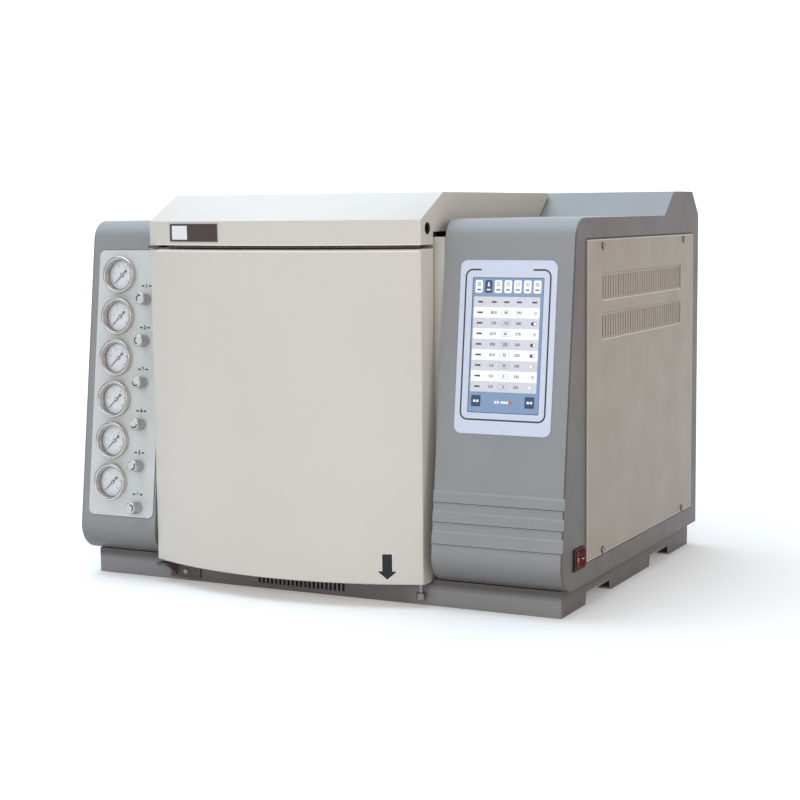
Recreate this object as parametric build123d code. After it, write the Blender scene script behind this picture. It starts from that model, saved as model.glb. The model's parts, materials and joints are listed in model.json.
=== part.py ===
from build123d import *
import os
from math import atan, cos, hypot, pi, sin, sqrt

# Bench gas chromatograph: a column oven between a gas-control bay (left) and an
# electronics bay (right), on a folded plinth. Millimetres, +Z up, -Y is the front,
# the origin is on the floor below the middle of the case.
os.makedirs("parts", exist_ok=True)

# ---- Driving dimensions ----------------------------------------------------------
SHEET = 2.0  # folded steel sheet

# Plinth
PLINTH_HALF = 315.0
PLINTH_FRONT, PLINTH_BACK = -215.0, 259.0
PLINTH_TOP = 31.0
NOTCHES_Y = ((-138.0, -49.0), (95.0, 178.0))  # gaps between the feet on each side
NOTCH_HEIGHT, NOTCH_LEAN = 14.5, 3.0
FOOT_FLANGE = 14.0
VENT_COUNT, VENT_PITCH, VENT_WIDTH = 21, 5.8, 3.0
VENT_FROM_X, VENT_LOW, VENT_HIGH = -79.0, 6.0, 20.0
REBATE_TOP, REBATE_DEPTH, REBATE_END = 27.0, 17.0, 157.0  # step in the front that clears the door

# Case
CASE_HALF = 325.0
CASE_BACK, CASE_TOP = 264.0, 446.0
FACE_FOOT_Y, FACE_SLOPE = -246.8, 36.0 / 294.0  # leaning front face, y = foot + slope * z
TOE_RADIUS, BROW_RADIUS = 32.0, 26.0
LEFT_BAY_X = (-CASE_HALF + SHEET, -214.0)
RIGHT_BAY_X = (166.0, CASE_HALF - SHEET)
SKIN_TOP_END = 130.0

# Rear hood, as (y, z)
HOOD = ((124.0, CASE_TOP), (161.0, 476.6), (236.0, 476.6), (CASE_BACK, CASE_TOP))
HOOD_BEND = 4.0

# Gas-control panel with six gauges, each with its regulator knob below
PANEL_X, PANEL_Z, PANEL_CORNER, PANEL_THICK = (-314.0, -217.0), (78.5, 409.4), 8.0, 1.0
GAUGE_X, KNOB_X = -280.4, -239.6
GAUGE_TOP_Z, GAUGE_PITCH, GAUGE_COUNT = 378.4, 51.6, 6
KNOB_DROP = 29.8
BEZEL_R, BEZEL_BORE_R, BEZEL_FRONT, BEZEL_ROUND = 23.0, 19.4, 9.0, 1.7
GAUGE_CASE_R, GAUGE_BORE_R, GAUGE_DEPTH = 20.5, 18.5, 28.0
DIAL_TOP, LENS_Z = -1.5, (2.8, 3.8)  # depths of the dial's face and of the glass
KNOB_R, KNOB_FRONT = 7.5, 18.0
STEM_R = 3.0
REGULATOR_R, REGULATOR_DEPTH = 13.0, 44.0

# Gas fittings at the back
FITTING_R, FITTING_BORE_R, FITTING_COUNT, FITTING_PITCH = 4.0, 1.6, 6, 30.0
FITTING_X, FITTING_TOP_Z = -270.0, 300.0

# Display
OVERLAY_X, OVERLAY_Z, OVERLAY_CORNER, OVERLAY_THICK = (187.6, 304.5), (205.0, 399.3), 8.5, 1.0
SCREEN_X, SCREEN_Z = (203.0, 289.5), (228.7, 380.0)
BANDS_Z = ((126.0, 139.0), (103.7, 116.5), (78.8, 94.0))  # raised bands below the display
BAND_X, BAND_PROUD, BAND_SLOPE = (RIGHT_BAY_X[0], CASE_HALF), 1.5, 1.2

# Right side cover with two louvred fields, as (y, z)
COVER_Y, COVER_Z, COVER_THICK, COVER_EDGE = (-164.6, 236.5), (55.9, 421.4), 1.5, 0.5
LOUVRE_Y, LOUVRES_Z = (-116.0, 183.0), ((352.0, 381.5), (307.0, 336.0))
SLAT_COUNT, SLAT_GAP = 34, 2.4
COVER_SCREWS = ((-114.0, 414.0), (194.0, 415.0), (-112.0, 61.5), (194.0, 61.5))

# Power rocker on the right side
ROCKER_Y, ROCKER_Z = (-204.5, -173.0), (52.0, 77.0)
ROCKER_TILT = 9.0

# Electronics fan and power inlet at the back
COOLER_X, COOLER_Z, COOLER_HALF, COOLER_HOLE_R, COOLER_DEPTH = 246.0, 330.0, 40.0, 37.5, 25.0
COOLER_SLOTS, COOLER_SLOT_PITCH, COOLER_SLOT_HALF = 9, 8.0, 2.0
INLET_X, INLET_Z, INLET_HALF_X, INLET_HALF_Z = 250.0, 90.0, 14.0, 10.5

# Oven: cavity, walls and front frame
OVEN_X, OVEN_Z, OVEN_Y = (-164.0, 116.0), (72.0, 362.0), (-195.0, 5.0)
FRAME_X, FRAME_Y, FRAME_TOP = (-214.0, 166.0), (-199.0, -195.0), 425.5
WOOL_SIDE, WOOL_BACK = 40.0, 40.0
DECK_Z = 410.0
FAN_X, FAN_Z, FAN_R, SHAFT_R = -24.0, 217.0, 64.0, 4.0
BAFFLE_Y, BAFFLE_HOLE_R = (-48.0, -46.0), 45.0
HEATER_R, HEATER_HALF, HEATER_Y = 78.0, 4.0, -22.0
CAGE_Y, CAGE_POST_R, COLUMN_BUNDLE_R = (-106.0, -66.0), 74.0, 4.5
DUCT_X, DUCT_Z = (30.0, 94.0), (285.0, 349.0)
FLAP_Y = 230.0
INJECTOR_AT, DETECTOR_AT, TOWER_R = (-110.0, -75.0), (60.0, -75.0), 13.0

# Door: bowed outwards in plan, hung on its left edge
DOOR_X, DOOR_Z = (-212.0, 154.0), (28.0, 412.5)
DOOR_EDGE_Y, DOOR_BACK_Y, BOW = -235.0, -203.0, 40.0
DOOR_WALL, DOOR_ROUND = 3.0, 2.0
PLUG_X, PLUG_Z, PLUG_BACK = (-160.0, 112.0), (76.0, 358.0), -190.0
HINGE_X, HINGE_Y, HINGE_PIN_R = -203.0, -235.0, 1.5
LATCH_X, LATCH_Y = 145.0, -223.0
LATCH_KNOB_R, LATCH_STEM_R = 5.5, 2.6
LOWER_TAB_Z, UPPER_TAB_Z = (21.5, 24.5), (413.5, 416.0)
BRACKET_X, TAB_X, BRACKET_THICK = (-205.0, -162.0), (-211.0, -196.0), 2.5
STRAP_X, STRAP_FRONT = (-211.0, -180.0), -226.0
BRACKET_SCREWS = ((-183.0, PLINTH_FRONT - BRACKET_THICK, 11.5, 3.4), (-184.0, STRAP_FRONT, 414.75, 1.9))

# Lid over the injector and detector bay, same plan as the door, hinged at the hood
LID_LIP_Z, LID_BREAK_Z, LID_TOP_Z = 417.0, 445.4, 476.6
LID_SIDE_Z, LID_STEP_Y = 431.6, -202.7
LID_CREST_Y = -175.0
LID_WALL = 3.0
LID_AXIS_Y, LID_ROLL_R, LID_PIN_R = 150.0, 3.0, 1.5
LID_LUGS_X, LUG_WIDTH, LID_PIN_REACH = (-140.0, 82.0), 12.0, 22.0
GROMMET_Y, GROMMET_Z, GROMMET_R = -217.5, 435.6, 7.0

RUN = 0.05  # radial running clearance of a pin or shaft
FREE = 0.3  # clearance between pieces that move past each other


# ---- Helpers ---------------------------------------------------------------------
def block(x, y, z):
    """A box from three (low, high) pairs."""
    size = [high - low for low, high in (x, y, z)]
    return Pos(*[(low + high) / 2 for low, high in (x, y, z)]) * Box(*size)


def rod(radius, low, high):
    """A cylinder about Z from one height to another."""
    base = (Align.CENTER, Align.CENTER, Align.MIN)
    return Pos(0, 0, low) * Cylinder(radius, high - low, align=base)


def rod_along_x(radius, x, y, z):
    """A cylinder along X between two x values."""
    return Pos(0, y, z) * Rot(0, 90, 0) * rod(radius, x[0], x[1])


def rod_along_y(radius, x, y, z):
    """A cylinder along Y between two y values."""
    return Pos(x, 0, z) * Rot(-90, 0, 0) * rod(radius, y[0], y[1])


def polygon(points):
    return make_face(Polyline(*points, close=True))


def across(profile, x):
    """Extrude a profile drawn as (y, z) along X between two x values."""
    return Pos(x[0], 0, 0) * extrude(Plane.YZ * profile, amount=x[1] - x[0])


def mid(pair):
    return (pair[0] + pair[1]) / 2


def span(pair):
    return pair[1] - pair[0]


def grown(pair, by):
    return (pair[0] - by, pair[1] + by)


def about(centre, half):
    return (centre - half, centre + half)


def shifted(points, distance):
    """The open polyline parallel to points, at a distance to its left."""
    lines = []
    for (ax, ay), (bx, by) in zip(points, points[1:]):
        length = hypot(bx - ax, by - ay)
        nx, ny = -(by - ay) / length * distance, (bx - ax) / length * distance
        lines.append(((ax + nx, ay + ny), (bx + nx, by + ny)))
    corners = [lines[0][0]]
    for (a, b), (c, d) in zip(lines, lines[1:]):
        ux, uy, vx, vy = b[0] - a[0], b[1] - a[1], d[0] - c[0], d[1] - c[1]
        t = ((c[0] - a[0]) * vy - (c[1] - a[1]) * vx) / (ux * vy - uy * vx)
        corners.append((a[0] + t * ux, a[1] + t * uy))
    return corners + [lines[-1][1]]


def bent_sheet(points, radii, thickness):
    """Section of folded sheet: the outer polyline, its bend radii, material to its left."""
    outer = FilletPolyline(*points, radius=list(radii))
    inner = FilletPolyline(*shifted(points, thickness), radius=[r - thickness for r in radii])
    ends = [Line(outer @ 1, inner @ 1), Line(inner @ 0, outer @ 0)]
    return make_face([*outer.edges(), *inner.edges(), *ends])


def rounded_corners(face, corners):
    """Round the face's corners nearest to the given points, each by its own radius."""
    for point, radius in corners:
        near = min(face.vertices(), key=lambda v: hypot(v.X - point[0], v.Y - point[1]))
        face = fillet(near, radius)
    return face


# ---- The leaning front face ------------------------------------------------------
def face_y(z):
    return FACE_FOOT_Y + FACE_SLOPE * z


def on_face(x, z):
    """Place on the front face: local X across, Y up along the face, Z outwards."""
    tilt = atan(FACE_SLOPE)
    return Location(Plane((x, face_y(z), z), x_dir=(1, 0, 0), z_dir=(0, -cos(tilt), sin(tilt))))


def face_plate(x, z, corner, low, high):
    """A rounded plate on the front face, between two heights above it."""
    height = span(z) / cos(atan(FACE_SLOPE))
    plate = extrude(RectangleRounded(span(x), height, corner), amount=high - low)
    return on_face(mid(x), mid(z)) * Pos(0, 0, low) * plate


def bay_outline(inset, back, bottom, top):
    """Side view of a bay as (y, z), inset from the front face."""
    lean = inset * sqrt(1 + FACE_SLOPE**2)
    toe, brow = (face_y(bottom) + lean, bottom), (face_y(top) + lean, top)
    face = polygon([(back, bottom), toe, brow, (back, top)])
    return rounded_corners(face, [(toe, TOE_RADIUS - inset), (brow, BROW_RADIUS - inset)])


def gauge_heights():
    return [GAUGE_TOP_Z - i * GAUGE_PITCH for i in range(GAUGE_COUNT)]


# ---- Plinth and case -------------------------------------------------------------
def base_plinth():
    tray = block((-PLINTH_HALF, PLINTH_HALF), (PLINTH_FRONT, PLINTH_BACK), (0, PLINTH_TOP))
    inside_x = (SHEET - PLINTH_HALF, PLINTH_HALF - SHEET)
    tray -= block(inside_x, (PLINTH_FRONT + SHEET, PLINTH_BACK - SHEET), (-1, PLINTH_TOP - SHEET))
    for side in (-1, 1):
        edge = side * (PLINTH_HALF - SHEET)
        flange_x = sorted((edge, edge - side * FOOT_FLANGE))
        tray += block(flange_x, (PLINTH_FRONT + SHEET, PLINTH_BACK - SHEET), (0, SHEET))
    for low, high in NOTCHES_Y:
        lean = [(low, -1), (high, -1), (high - NOTCH_LEAN, NOTCH_HEIGHT), (low + NOTCH_LEAN, NOTCH_HEIGHT)]
        notch = rounded_corners(polygon(lean), [(lean[2], 3), (lean[3], 3)])
        tray -= across(notch, (-PLINTH_HALF - 1, PLINTH_HALF + 1))
    for i in range(VENT_COUNT):
        left = VENT_FROM_X + i * VENT_PITCH
        slot_y = (PLINTH_FRONT - 1, PLINTH_FRONT + SHEET + 1)
        tray -= block((left, left + VENT_WIDTH), slot_y, (VENT_LOW, VENT_HIGH))
    riser_y = PLINTH_FRONT + REBATE_DEPTH
    rebate_x = (FRAME_X[0], REBATE_END)
    tray -= block(rebate_x, (PLINTH_FRONT - 1, riser_y), (REBATE_TOP, PLINTH_TOP + 1))
    tray += block(rebate_x, (PLINTH_FRONT, riser_y), (REBATE_TOP - SHEET, REBATE_TOP))
    tray += block(rebate_x, (riser_y - SHEET, riser_y), (REBATE_TOP - SHEET, PLINTH_TOP))
    end_x = (REBATE_END, REBATE_END + SHEET)
    return tray + block(end_x, (PLINTH_FRONT, riser_y), (REBATE_TOP - SHEET, PLINTH_TOP))


def side_outline():
    """Outline of a side panel as (y, z), with the end of the hood."""
    toe, brow = (face_y(PLINTH_TOP), PLINTH_TOP), (face_y(CASE_TOP), CASE_TOP)
    face = polygon([(CASE_BACK, PLINTH_TOP), toe, brow, *HOOD])
    rounds = [(toe, TOE_RADIUS), (brow, BROW_RADIUS), (HOOD[1], HOOD_BEND), (HOOD[2], HOOD_BEND)]
    return rounded_corners(face, rounds)


def left_side_panel():
    return across(side_outline(), (-CASE_HALF, LEFT_BAY_X[0]))


def right_side_panel():
    panel = across(side_outline(), (RIGHT_BAY_X[1], CASE_HALF))
    through = (RIGHT_BAY_X[1] - 1, CASE_HALF + 1)
    for z in LOUVRES_Z:
        panel -= block(through, LOUVRE_Y, z)
    return panel - block(through, grown(ROCKER_Y, -1.5), grown(ROCKER_Z, -1.5))


def bay_skin(x):
    """Floor, front and top of a bay: one folded sheet."""
    inner_back = CASE_BACK - SHEET
    points = [(SKIN_TOP_END, CASE_TOP), (face_y(CASE_TOP), CASE_TOP), (face_y(PLINTH_TOP), PLINTH_TOP)]
    points.append((inner_back, PLINTH_TOP))
    return across(bent_sheet(points, (BROW_RADIUS, TOE_RADIUS), SHEET), x)


def left_fascia():
    skin = bay_skin(LEFT_BAY_X)
    for z in gauge_heights():
        skin -= on_face(GAUGE_X, z) * rod(GAUGE_CASE_R + 0.1, -2 * SHEET, 1)
        skin -= on_face(KNOB_X, z - KNOB_DROP) * rod(STEM_R + FREE, -2 * SHEET, 1)
    return skin


def right_fascia():
    skin = bay_skin(RIGHT_BAY_X)
    proud = bay_outline(-BAND_PROUD, CASE_BACK, PLINTH_TOP - BAND_PROUD, CASE_TOP + BAND_PROUD)
    inner = bay_outline(0, CASE_BACK + 1, PLINTH_TOP, CASE_TOP)
    shell = across(proud, BAND_X) - across(inner, grown(BAND_X, 1))
    for low, high in BANDS_Z:
        behind, out = face_y(high) + 30, face_y(high) - 10
        sloped = [(behind, low), (behind, high), (face_y(high), high), (out, high - 10 * BAND_SLOPE), (out, low)]
        skin += shell & across(polygon(sloped), BAND_X)
    return skin - face_plate(grown(SCREEN_X, 0.2), grown(SCREEN_Z, 0.2), 0.5, -2 * SHEET, 1)


def bay_partitions():
    """Inner walls of the two bays."""
    outline = bay_outline(SHEET, CASE_BACK - SHEET, PLINTH_TOP + SHEET, CASE_TOP - SHEET)
    left = across(outline, (LEFT_BAY_X[1] - SHEET, LEFT_BAY_X[1]))
    right = across(outline, (RIGHT_BAY_X[0], RIGHT_BAY_X[0] + SHEET))
    return Compound(children=[left, right])


def rear_hood():
    path = [HOOD[3], HOOD[2], HOOD[1], HOOD[0]]
    width = (-CASE_HALF + SHEET, CASE_HALF - SHEET)
    hood = across(bent_sheet(path, (HOOD_BEND, HOOD_BEND), SHEET), width)
    return hood - block(grown(width, 1), (HOOD[0][0] - 5, CASE_BACK + 5), (CASE_TOP - 5, CASE_TOP))


def rear_panel():
    """Three sheets, one behind each bay, that meet on the inner walls."""
    back_y = (CASE_BACK - SHEET, CASE_BACK)
    through = (CASE_BACK - SHEET - 1, CASE_BACK + 1)
    panel = block((-CASE_HALF + SHEET, CASE_HALF - SHEET), back_y, (PLINTH_TOP, CASE_TOP))
    for x in (LEFT_BAY_X[1] - SHEET / 2, RIGHT_BAY_X[0] + SHEET / 2):
        panel -= block(about(x, FREE), through, grown((PLINTH_TOP, CASE_TOP), 1))
    inner = [(low + SHEET, high - SHEET) for low, high in (DUCT_X, DUCT_Z)]
    panel -= block(inner[0], through, inner[1])
    for x, z in fitting_places():
        panel -= rod_along_y(FITTING_R + 0.2, x, through, z)
    for i in range(COOLER_SLOTS):
        rise = (i - (COOLER_SLOTS - 1) / 2) * COOLER_SLOT_PITCH
        half = sqrt(COOLER_HOLE_R**2 - rise**2) - 4
        panel -= block(about(COOLER_X, half), through, about(COOLER_Z + rise, COOLER_SLOT_HALF))
    return panel - block(about(INLET_X, INLET_HALF_X), through, about(INLET_Z, INLET_HALF_Z))


# ---- Gas-control bay -------------------------------------------------------------
def fitting_places():
    return [(FITTING_X, FITTING_TOP_Z - i * FITTING_PITCH) for i in range(FITTING_COUNT)]


def gas_fittings():
    """Bulkhead unions through the rear panel, each with its hexagon outside."""
    unions = []
    for x, z in fitting_places():
        body = rod_along_y(FITTING_R, x, (CASE_BACK - 16, CASE_BACK + 11), z)
        body -= rod_along_y(FITTING_BORE_R, x, (CASE_BACK - 4, CASE_BACK + 12), z)
        nut = extrude(RegularPolygon(7, 6), amount=5)
        unions.append(body + Pos(x, CASE_BACK + 5, z) * Rot(90, 0, 0) * nut)
    return Compound(children=unions)


def control_panel():
    panel = face_plate(PANEL_X, PANEL_Z, PANEL_CORNER, 0, PANEL_THICK)
    for z in gauge_heights():
        panel -= on_face(GAUGE_X, z) * rod(GAUGE_CASE_R + 0.1, -1, 2)
        panel -= on_face(KNOB_X, z - KNOB_DROP) * rod(STEM_R + FREE, -1, 2)
    return panel


def gauge_case():
    """One panel gauge about its own axis: case, rounded deep bezel and pressure stub."""
    case = rod(GAUGE_CASE_R, -GAUGE_DEPTH, PANEL_THICK) + rod(BEZEL_R, PANEL_THICK, BEZEL_FRONT)
    case -= rod(BEZEL_BORE_R, LENS_Z[0], BEZEL_FRONT + 1)
    case = fillet(case.faces().sort_by(Axis.Z)[-1].edges(), BEZEL_ROUND)
    case -= rod(GAUGE_BORE_R, DIAL_TOP - 0.5, LENS_Z[0] + 1) + rod(0.5 + RUN, DIAL_TOP - 5, DIAL_TOP)
    return case + rod(5, -GAUGE_DEPTH - 12, -GAUGE_DEPTH)


def gauge_needle():
    """Pointer with its flared tail, hub and arbor; it rests at the dial's zero, lower left."""
    half = [(-8.5, 1.9), (-6, 1.5), (-5, 0.7), (3, 0.8), (15.5, 0.25)]
    pointer = extrude(polygon(half + [(x, -y) for x, y in reversed(half)]), amount=0.5)
    needle = Pos(0, 0, DIAL_TOP + 0.5) * Rot(0, 0, 225) * pointer
    return needle + rod(2.4, DIAL_TOP + 0.4, DIAL_TOP + 1.7) + rod(0.5, DIAL_TOP - 4.5, DIAL_TOP + 0.5)


def knob():
    """Regulator knob about its own axis: stem, fluted grip and polished cap."""
    grip = extrude(RegularPolygon(KNOB_R, 14), amount=10.5)
    stem = rod(STEM_R, -10, PANEL_THICK + FREE) + rod(5.2, PANEL_THICK + FREE, 4)
    cap = rod(KNOB_R - 0.3, 14.5, KNOB_FRONT)
    cap = chamfer(cap.edges().sort_by(Axis.Z)[-1], 0.8)
    return stem + Pos(0, 0, 4) * grip + cap


def regulator_body():
    """Pressure regulator behind the face, with its stem bore and outlet stub."""
    body = rod(REGULATOR_R, -REGULATOR_DEPTH, -SHEET) - rod(STEM_R + RUN, -13, 0)
    stub = rod(4, REGULATOR_R - 1, REGULATOR_R + 7)
    return body + Pos(0, 0, 10 - REGULATOR_DEPTH) * Rot(90, 0, 0) * stub


# ---- Electronics bay -------------------------------------------------------------
def right_side_cover():
    cover = block((CASE_HALF, CASE_HALF + COVER_THICK), COVER_Y, COVER_Z)
    cover = chamfer(cover.faces().sort_by(Axis.X)[-1].edges(), COVER_EDGE)
    pitch = span(LOUVRE_Y) / SLAT_COUNT
    for z in LOUVRES_Z:
        recess_x = (CASE_HALF + COVER_THICK - 0.7, CASE_HALF + COVER_THICK + 1)
        cover -= block(recess_x, LOUVRE_Y, z)
        for i in range(SLAT_COUNT):
            start = LOUVRE_Y[0] + (i + 0.5) * pitch - SLAT_GAP / 2
            slot_x = (CASE_HALF - 1, CASE_HALF + COVER_THICK)
            cover -= block(slot_x, (start, start + SLAT_GAP), (z[0] + 2, z[1] - 2))
    return cover


def panel_screws():
    """Round-head screws of the side cover and of the two hinge brackets."""
    heads = []
    face = CASE_HALF + COVER_THICK
    for y, z in COVER_SCREWS:
        head = rod_along_x(3.6, (face, face + 2), y, z)
        heads.append(chamfer(head.edges().sort_by(Axis.X)[-1], 0.7))
    for x, y, z, radius in BRACKET_SCREWS:
        head = rod_along_y(radius, x, (y - 1.8, y), z)
        heads.append(chamfer(head.edges().sort_by(Axis.Y)[0], 0.6))
    return Compound(children=heads)


def display_overlay():
    overlay = face_plate(OVERLAY_X, OVERLAY_Z, OVERLAY_CORNER, 0, OVERLAY_THICK)
    return overlay - face_plate(SCREEN_X, SCREEN_Z, 0.5, -1, 2)


def display_module():
    """Panel display: its glass fills the window, its frame sits behind the face."""
    glass = face_plate(SCREEN_X, SCREEN_Z, 0.5, -SHEET - 1, 0.5)
    return glass + face_plate(grown(SCREEN_X, 6), grown(SCREEN_Z, 6), 1, -SHEET - 9, -SHEET)


def main_board():
    """Control board on stand-offs from the inner wall, with its larger components."""
    wall = RIGHT_BAY_X[0] + SHEET
    board = block((wall + 8, wall + 9.6), (-150, 60), (80, 340))
    for y in (-142, 52):
        for z in (88, 332):
            board += rod_along_x(3, (wall, wall + 8), y, z)
    parts_yz = (((-120, -90), (250, 280)), ((-60, -20), (120, 150)), ((0, 40), (180, 300)))
    for y, z in parts_yz:
        board += block((wall + 9.6, wall + 18), y, z)
    return board


def power_supply():
    """Switched supply in a folded box with a lip round its lid."""
    floor = PLINTH_TOP + SHEET
    box = block((200, 315), (40, 200), (floor, floor + 70))
    return box + block((197, 318), (37, 203), (floor + 70, floor + 74))


def cooler_housing():
    """Frame of the electronics fan, with the motor spider on its inner side."""
    y = (CASE_BACK - SHEET - COOLER_DEPTH, CASE_BACK - SHEET)
    frame = block(about(COOLER_X, COOLER_HALF), y, about(COOLER_Z, COOLER_HALF))
    frame -= rod_along_y(COOLER_HOLE_R, COOLER_X, (y[0] - 1, y[1] + 1), COOLER_Z)
    spider_y = (y[0], y[0] + 3)
    frame += rod_along_y(17, COOLER_X, spider_y, COOLER_Z)
    arm = block((-3, 3), spider_y, (16, COOLER_HOLE_R + 1))
    for turn in (0, 120, 240):
        frame += Pos(COOLER_X, 0, COOLER_Z) * Rot(0, turn, 0) * arm
    return frame - rod_along_y(1.5 + RUN, COOLER_X, (y[0] - 1, y[0] + 4), COOLER_Z)


def bladed_wheel(hub_r, blade_r, depth, count, twist, thickness):
    """Hub with radial blades about Z, from z = 0 to depth."""
    wheel = rod(hub_r, 0, depth)
    blade = Pos((hub_r + blade_r) / 2 - 1, 0, depth / 2) * Rot(twist, 0, 0) * Box(
        blade_r - hub_r + 2, thickness, depth * 0.8
    )
    for i in range(count):
        wheel += Rot(0, 0, i * 360 / count) * blade
    return wheel


def cooler_rotor():
    y = CASE_BACK - SHEET - COOLER_DEPTH + 4
    wheel = bladed_wheel(16, COOLER_HOLE_R - 1.5, 16, 7, 40, 1.6) + rod(1.5, -4, 1)
    return Pos(COOLER_X, y, COOLER_Z) * Rot(-90, 0, 0) * wheel


def rocker_housing():
    """Snap-in switch body with its bezel proud of the side panel."""
    body = block((CASE_HALF, CASE_HALF + 2), ROCKER_Y, ROCKER_Z)
    body += block((CASE_HALF - 26, CASE_HALF), grown(ROCKER_Y, -1.7), grown(ROCKER_Z, -1.7))
    body -= block((CASE_HALF - 14, CASE_HALF + 3), about(mid(ROCKER_Y), 12.8), about(mid(ROCKER_Z), 9.6))
    body -= Pos(*rocker_pivot()) * rod(1.5 + RUN, -10.7, 10.7)
    for y in (-8, 0, 8):
        tab_y = about(mid(ROCKER_Y) + y, 0.4)
        body += block((CASE_HALF - 34, CASE_HALF - 26), tab_y, about(mid(ROCKER_Z), 3))
    return body


def rocker_pivot():
    return (CASE_HALF - 3, mid(ROCKER_Y), mid(ROCKER_Z))


def power_rocker():
    """Rocker on its two trunnions, resting with its rear end out."""
    dish = [(-6, -13), (-6, 13), (8.2, 13), (5.6, 0), (8.2, -13)]
    rocker = extrude(polygon(dish), amount=9.3, both=True) & rod(12.4, -10, 10)
    rocker += rod(1.5, -10.5, 10.5)
    return Pos(*rocker_pivot()) * Rot(0, 0, -ROCKER_TILT) * rocker


def power_inlet():
    """Appliance inlet: flange outside the rear panel, cup with three blades inside."""
    side_x, side_z = about(INLET_X, INLET_HALF_X), about(INLET_Z, INLET_HALF_Z)
    inlet = block(grown(side_x, 4), (CASE_BACK, CASE_BACK + 3), grown(side_z, 3))
    inlet += block(grown(side_x, -0.2), (CASE_BACK - 22, CASE_BACK), grown(side_z, -0.2))
    inlet -= block(grown(side_x, -2), (CASE_BACK - 14, CASE_BACK + 4), grown(side_z, -2.3))
    for dx, dz in ((-7, -2), (0, 2), (7, -2)):
        blade_x = (INLET_X + dx - 1, INLET_X + dx + 1)
        inlet += block(blade_x, (CASE_BACK - 14, CASE_BACK - 1), (INLET_Z + dz - 2, INLET_Z + dz + 2))
    return inlet


# ---- Oven ------------------------------------------------------------------------
def duct_bore(y, slack=0.0):
    inner = [grown(pair, slack - SHEET) for pair in (DUCT_X, DUCT_Z)]
    return block(inner[0], y, inner[1])


def oven_front_frame():
    frame = block(FRAME_X, FRAME_Y, (PLINTH_TOP, FRAME_TOP))
    return frame - block(OVEN_X, (FRAME_Y[0] - 1, FRAME_Y[1] + 1), OVEN_Z)


def oven_liner():
    """Stainless box, open at the front."""
    back = OVEN_Y[1]
    liner = block(grown(OVEN_X, SHEET), (OVEN_Y[0], back + SHEET), grown(OVEN_Z, SHEET))
    liner -= block(OVEN_X, (OVEN_Y[0] - 1, back), OVEN_Z)
    liner -= rod_along_y(8, FAN_X, (back - 1, back + SHEET + 1), FAN_Z)
    liner -= duct_bore((back - 1, back + SHEET + 1))
    for x, y in (INJECTOR_AT, DETECTOR_AT):
        liner -= Pos(x, y, 0) * rod(TOWER_R + 0.3, OVEN_Z[1] - 1, OVEN_Z[1] + SHEET + 1)
    return liner


def oven_insulation():
    """Five slabs of mineral wool round the liner."""
    outer_x = (OVEN_X[0] - SHEET - WOOL_SIDE, OVEN_X[1] + SHEET + WOOL_SIDE)
    liner_x, liner_z = grown(OVEN_X, SHEET), grown(OVEN_Z, SHEET)
    liner_back = OVEN_Y[1] + SHEET
    side_y, height = (OVEN_Y[0], liner_back), (PLINTH_TOP, DECK_Z)
    left = block((outer_x[0], liner_x[0]), side_y, height)
    right = block((liner_x[1], outer_x[1]), side_y, height)
    below = block(liner_x, side_y, (PLINTH_TOP, liner_z[0]))
    above = block(liner_x, side_y, (liner_z[1], DECK_Z))
    for x, y in (INJECTOR_AT, DETECTOR_AT):
        above -= Pos(x, y, 0) * rod(TOWER_R + 0.5, liner_z[1] - 1, DECK_Z + 1)
    behind = block(outer_x, (liner_back, liner_back + WOOL_BACK), height)
    behind -= rod_along_y(9, FAN_X, (liner_back - 1, liner_back + WOOL_BACK + 1), FAN_Z)
    behind -= duct_bore((liner_back - 1, liner_back + WOOL_BACK + 1), SHEET + 0.5)
    return Compound(children=[left, right, below, above, behind])


def fan_baffle():
    """Plate in front of the fan with an inlet ring, on four posts from the back wall."""
    x, z = grown(OVEN_X, -12), grown(OVEN_Z, -12)
    plate = block(x, BAFFLE_Y, z)
    plate -= rod_along_y(BAFFLE_HOLE_R, FAN_X, grown(BAFFLE_Y, 1), FAN_Z)
    for post_x in grown(x, -10):
        for post_z in about(mid(z), 60):
            plate += rod_along_y(5, post_x, (BAFFLE_Y[1], OVEN_Y[1]), post_z)
    return plate


def heater_coil():
    """Sheathed heater ring round the fan, on three legs."""
    ring = rod(HEATER_R + HEATER_HALF, -HEATER_HALF, HEATER_HALF)
    ring -= rod(HEATER_R - HEATER_HALF, -HEATER_HALF - 1, HEATER_HALF + 1)
    ring = chamfer(ring.edges().filter_by(GeomType.CIRCLE), HEATER_HALF / 2)
    for turn in (90, 210, 330):
        leg = Pos(HEATER_R, 0, 0) * rod(HEATER_HALF / 2 - 0.1, 0, OVEN_Y[1] - HEATER_Y)
        ring += Rot(0, 0, turn) * leg
    return Pos(FAN_X, HEATER_Y, FAN_Z) * Rot(-90, 0, 0) * ring


def oven_fan():
    """Centrifugal wheel on its long shaft, about Y."""
    wheel = bladed_wheel(12, FAN_R, 24, 10, 0, 2) + rod(40, 21, 24) + rod(SHAFT_R, 20, 92)
    return Pos(FAN_X, -32, FAN_Z) * Rot(-90, 0, 0) * wheel


def oven_motor():
    """Fan motor on the back of the insulation: mounting plate, body and end bell."""
    y = OVEN_Y[1] + SHEET + WOOL_BACK
    motor = block(about(FAN_X, 50), (y, y + 3), about(FAN_Z, 50))
    motor += rod_along_y(44, FAN_X, (y + 3, y + 55), FAN_Z)
    motor += rod_along_y(30, FAN_X, (y + 55, y + 66), FAN_Z)
    return motor - rod_along_y(SHAFT_R + RUN, FAN_X, (y - 1, y + 14), FAN_Z)


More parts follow.
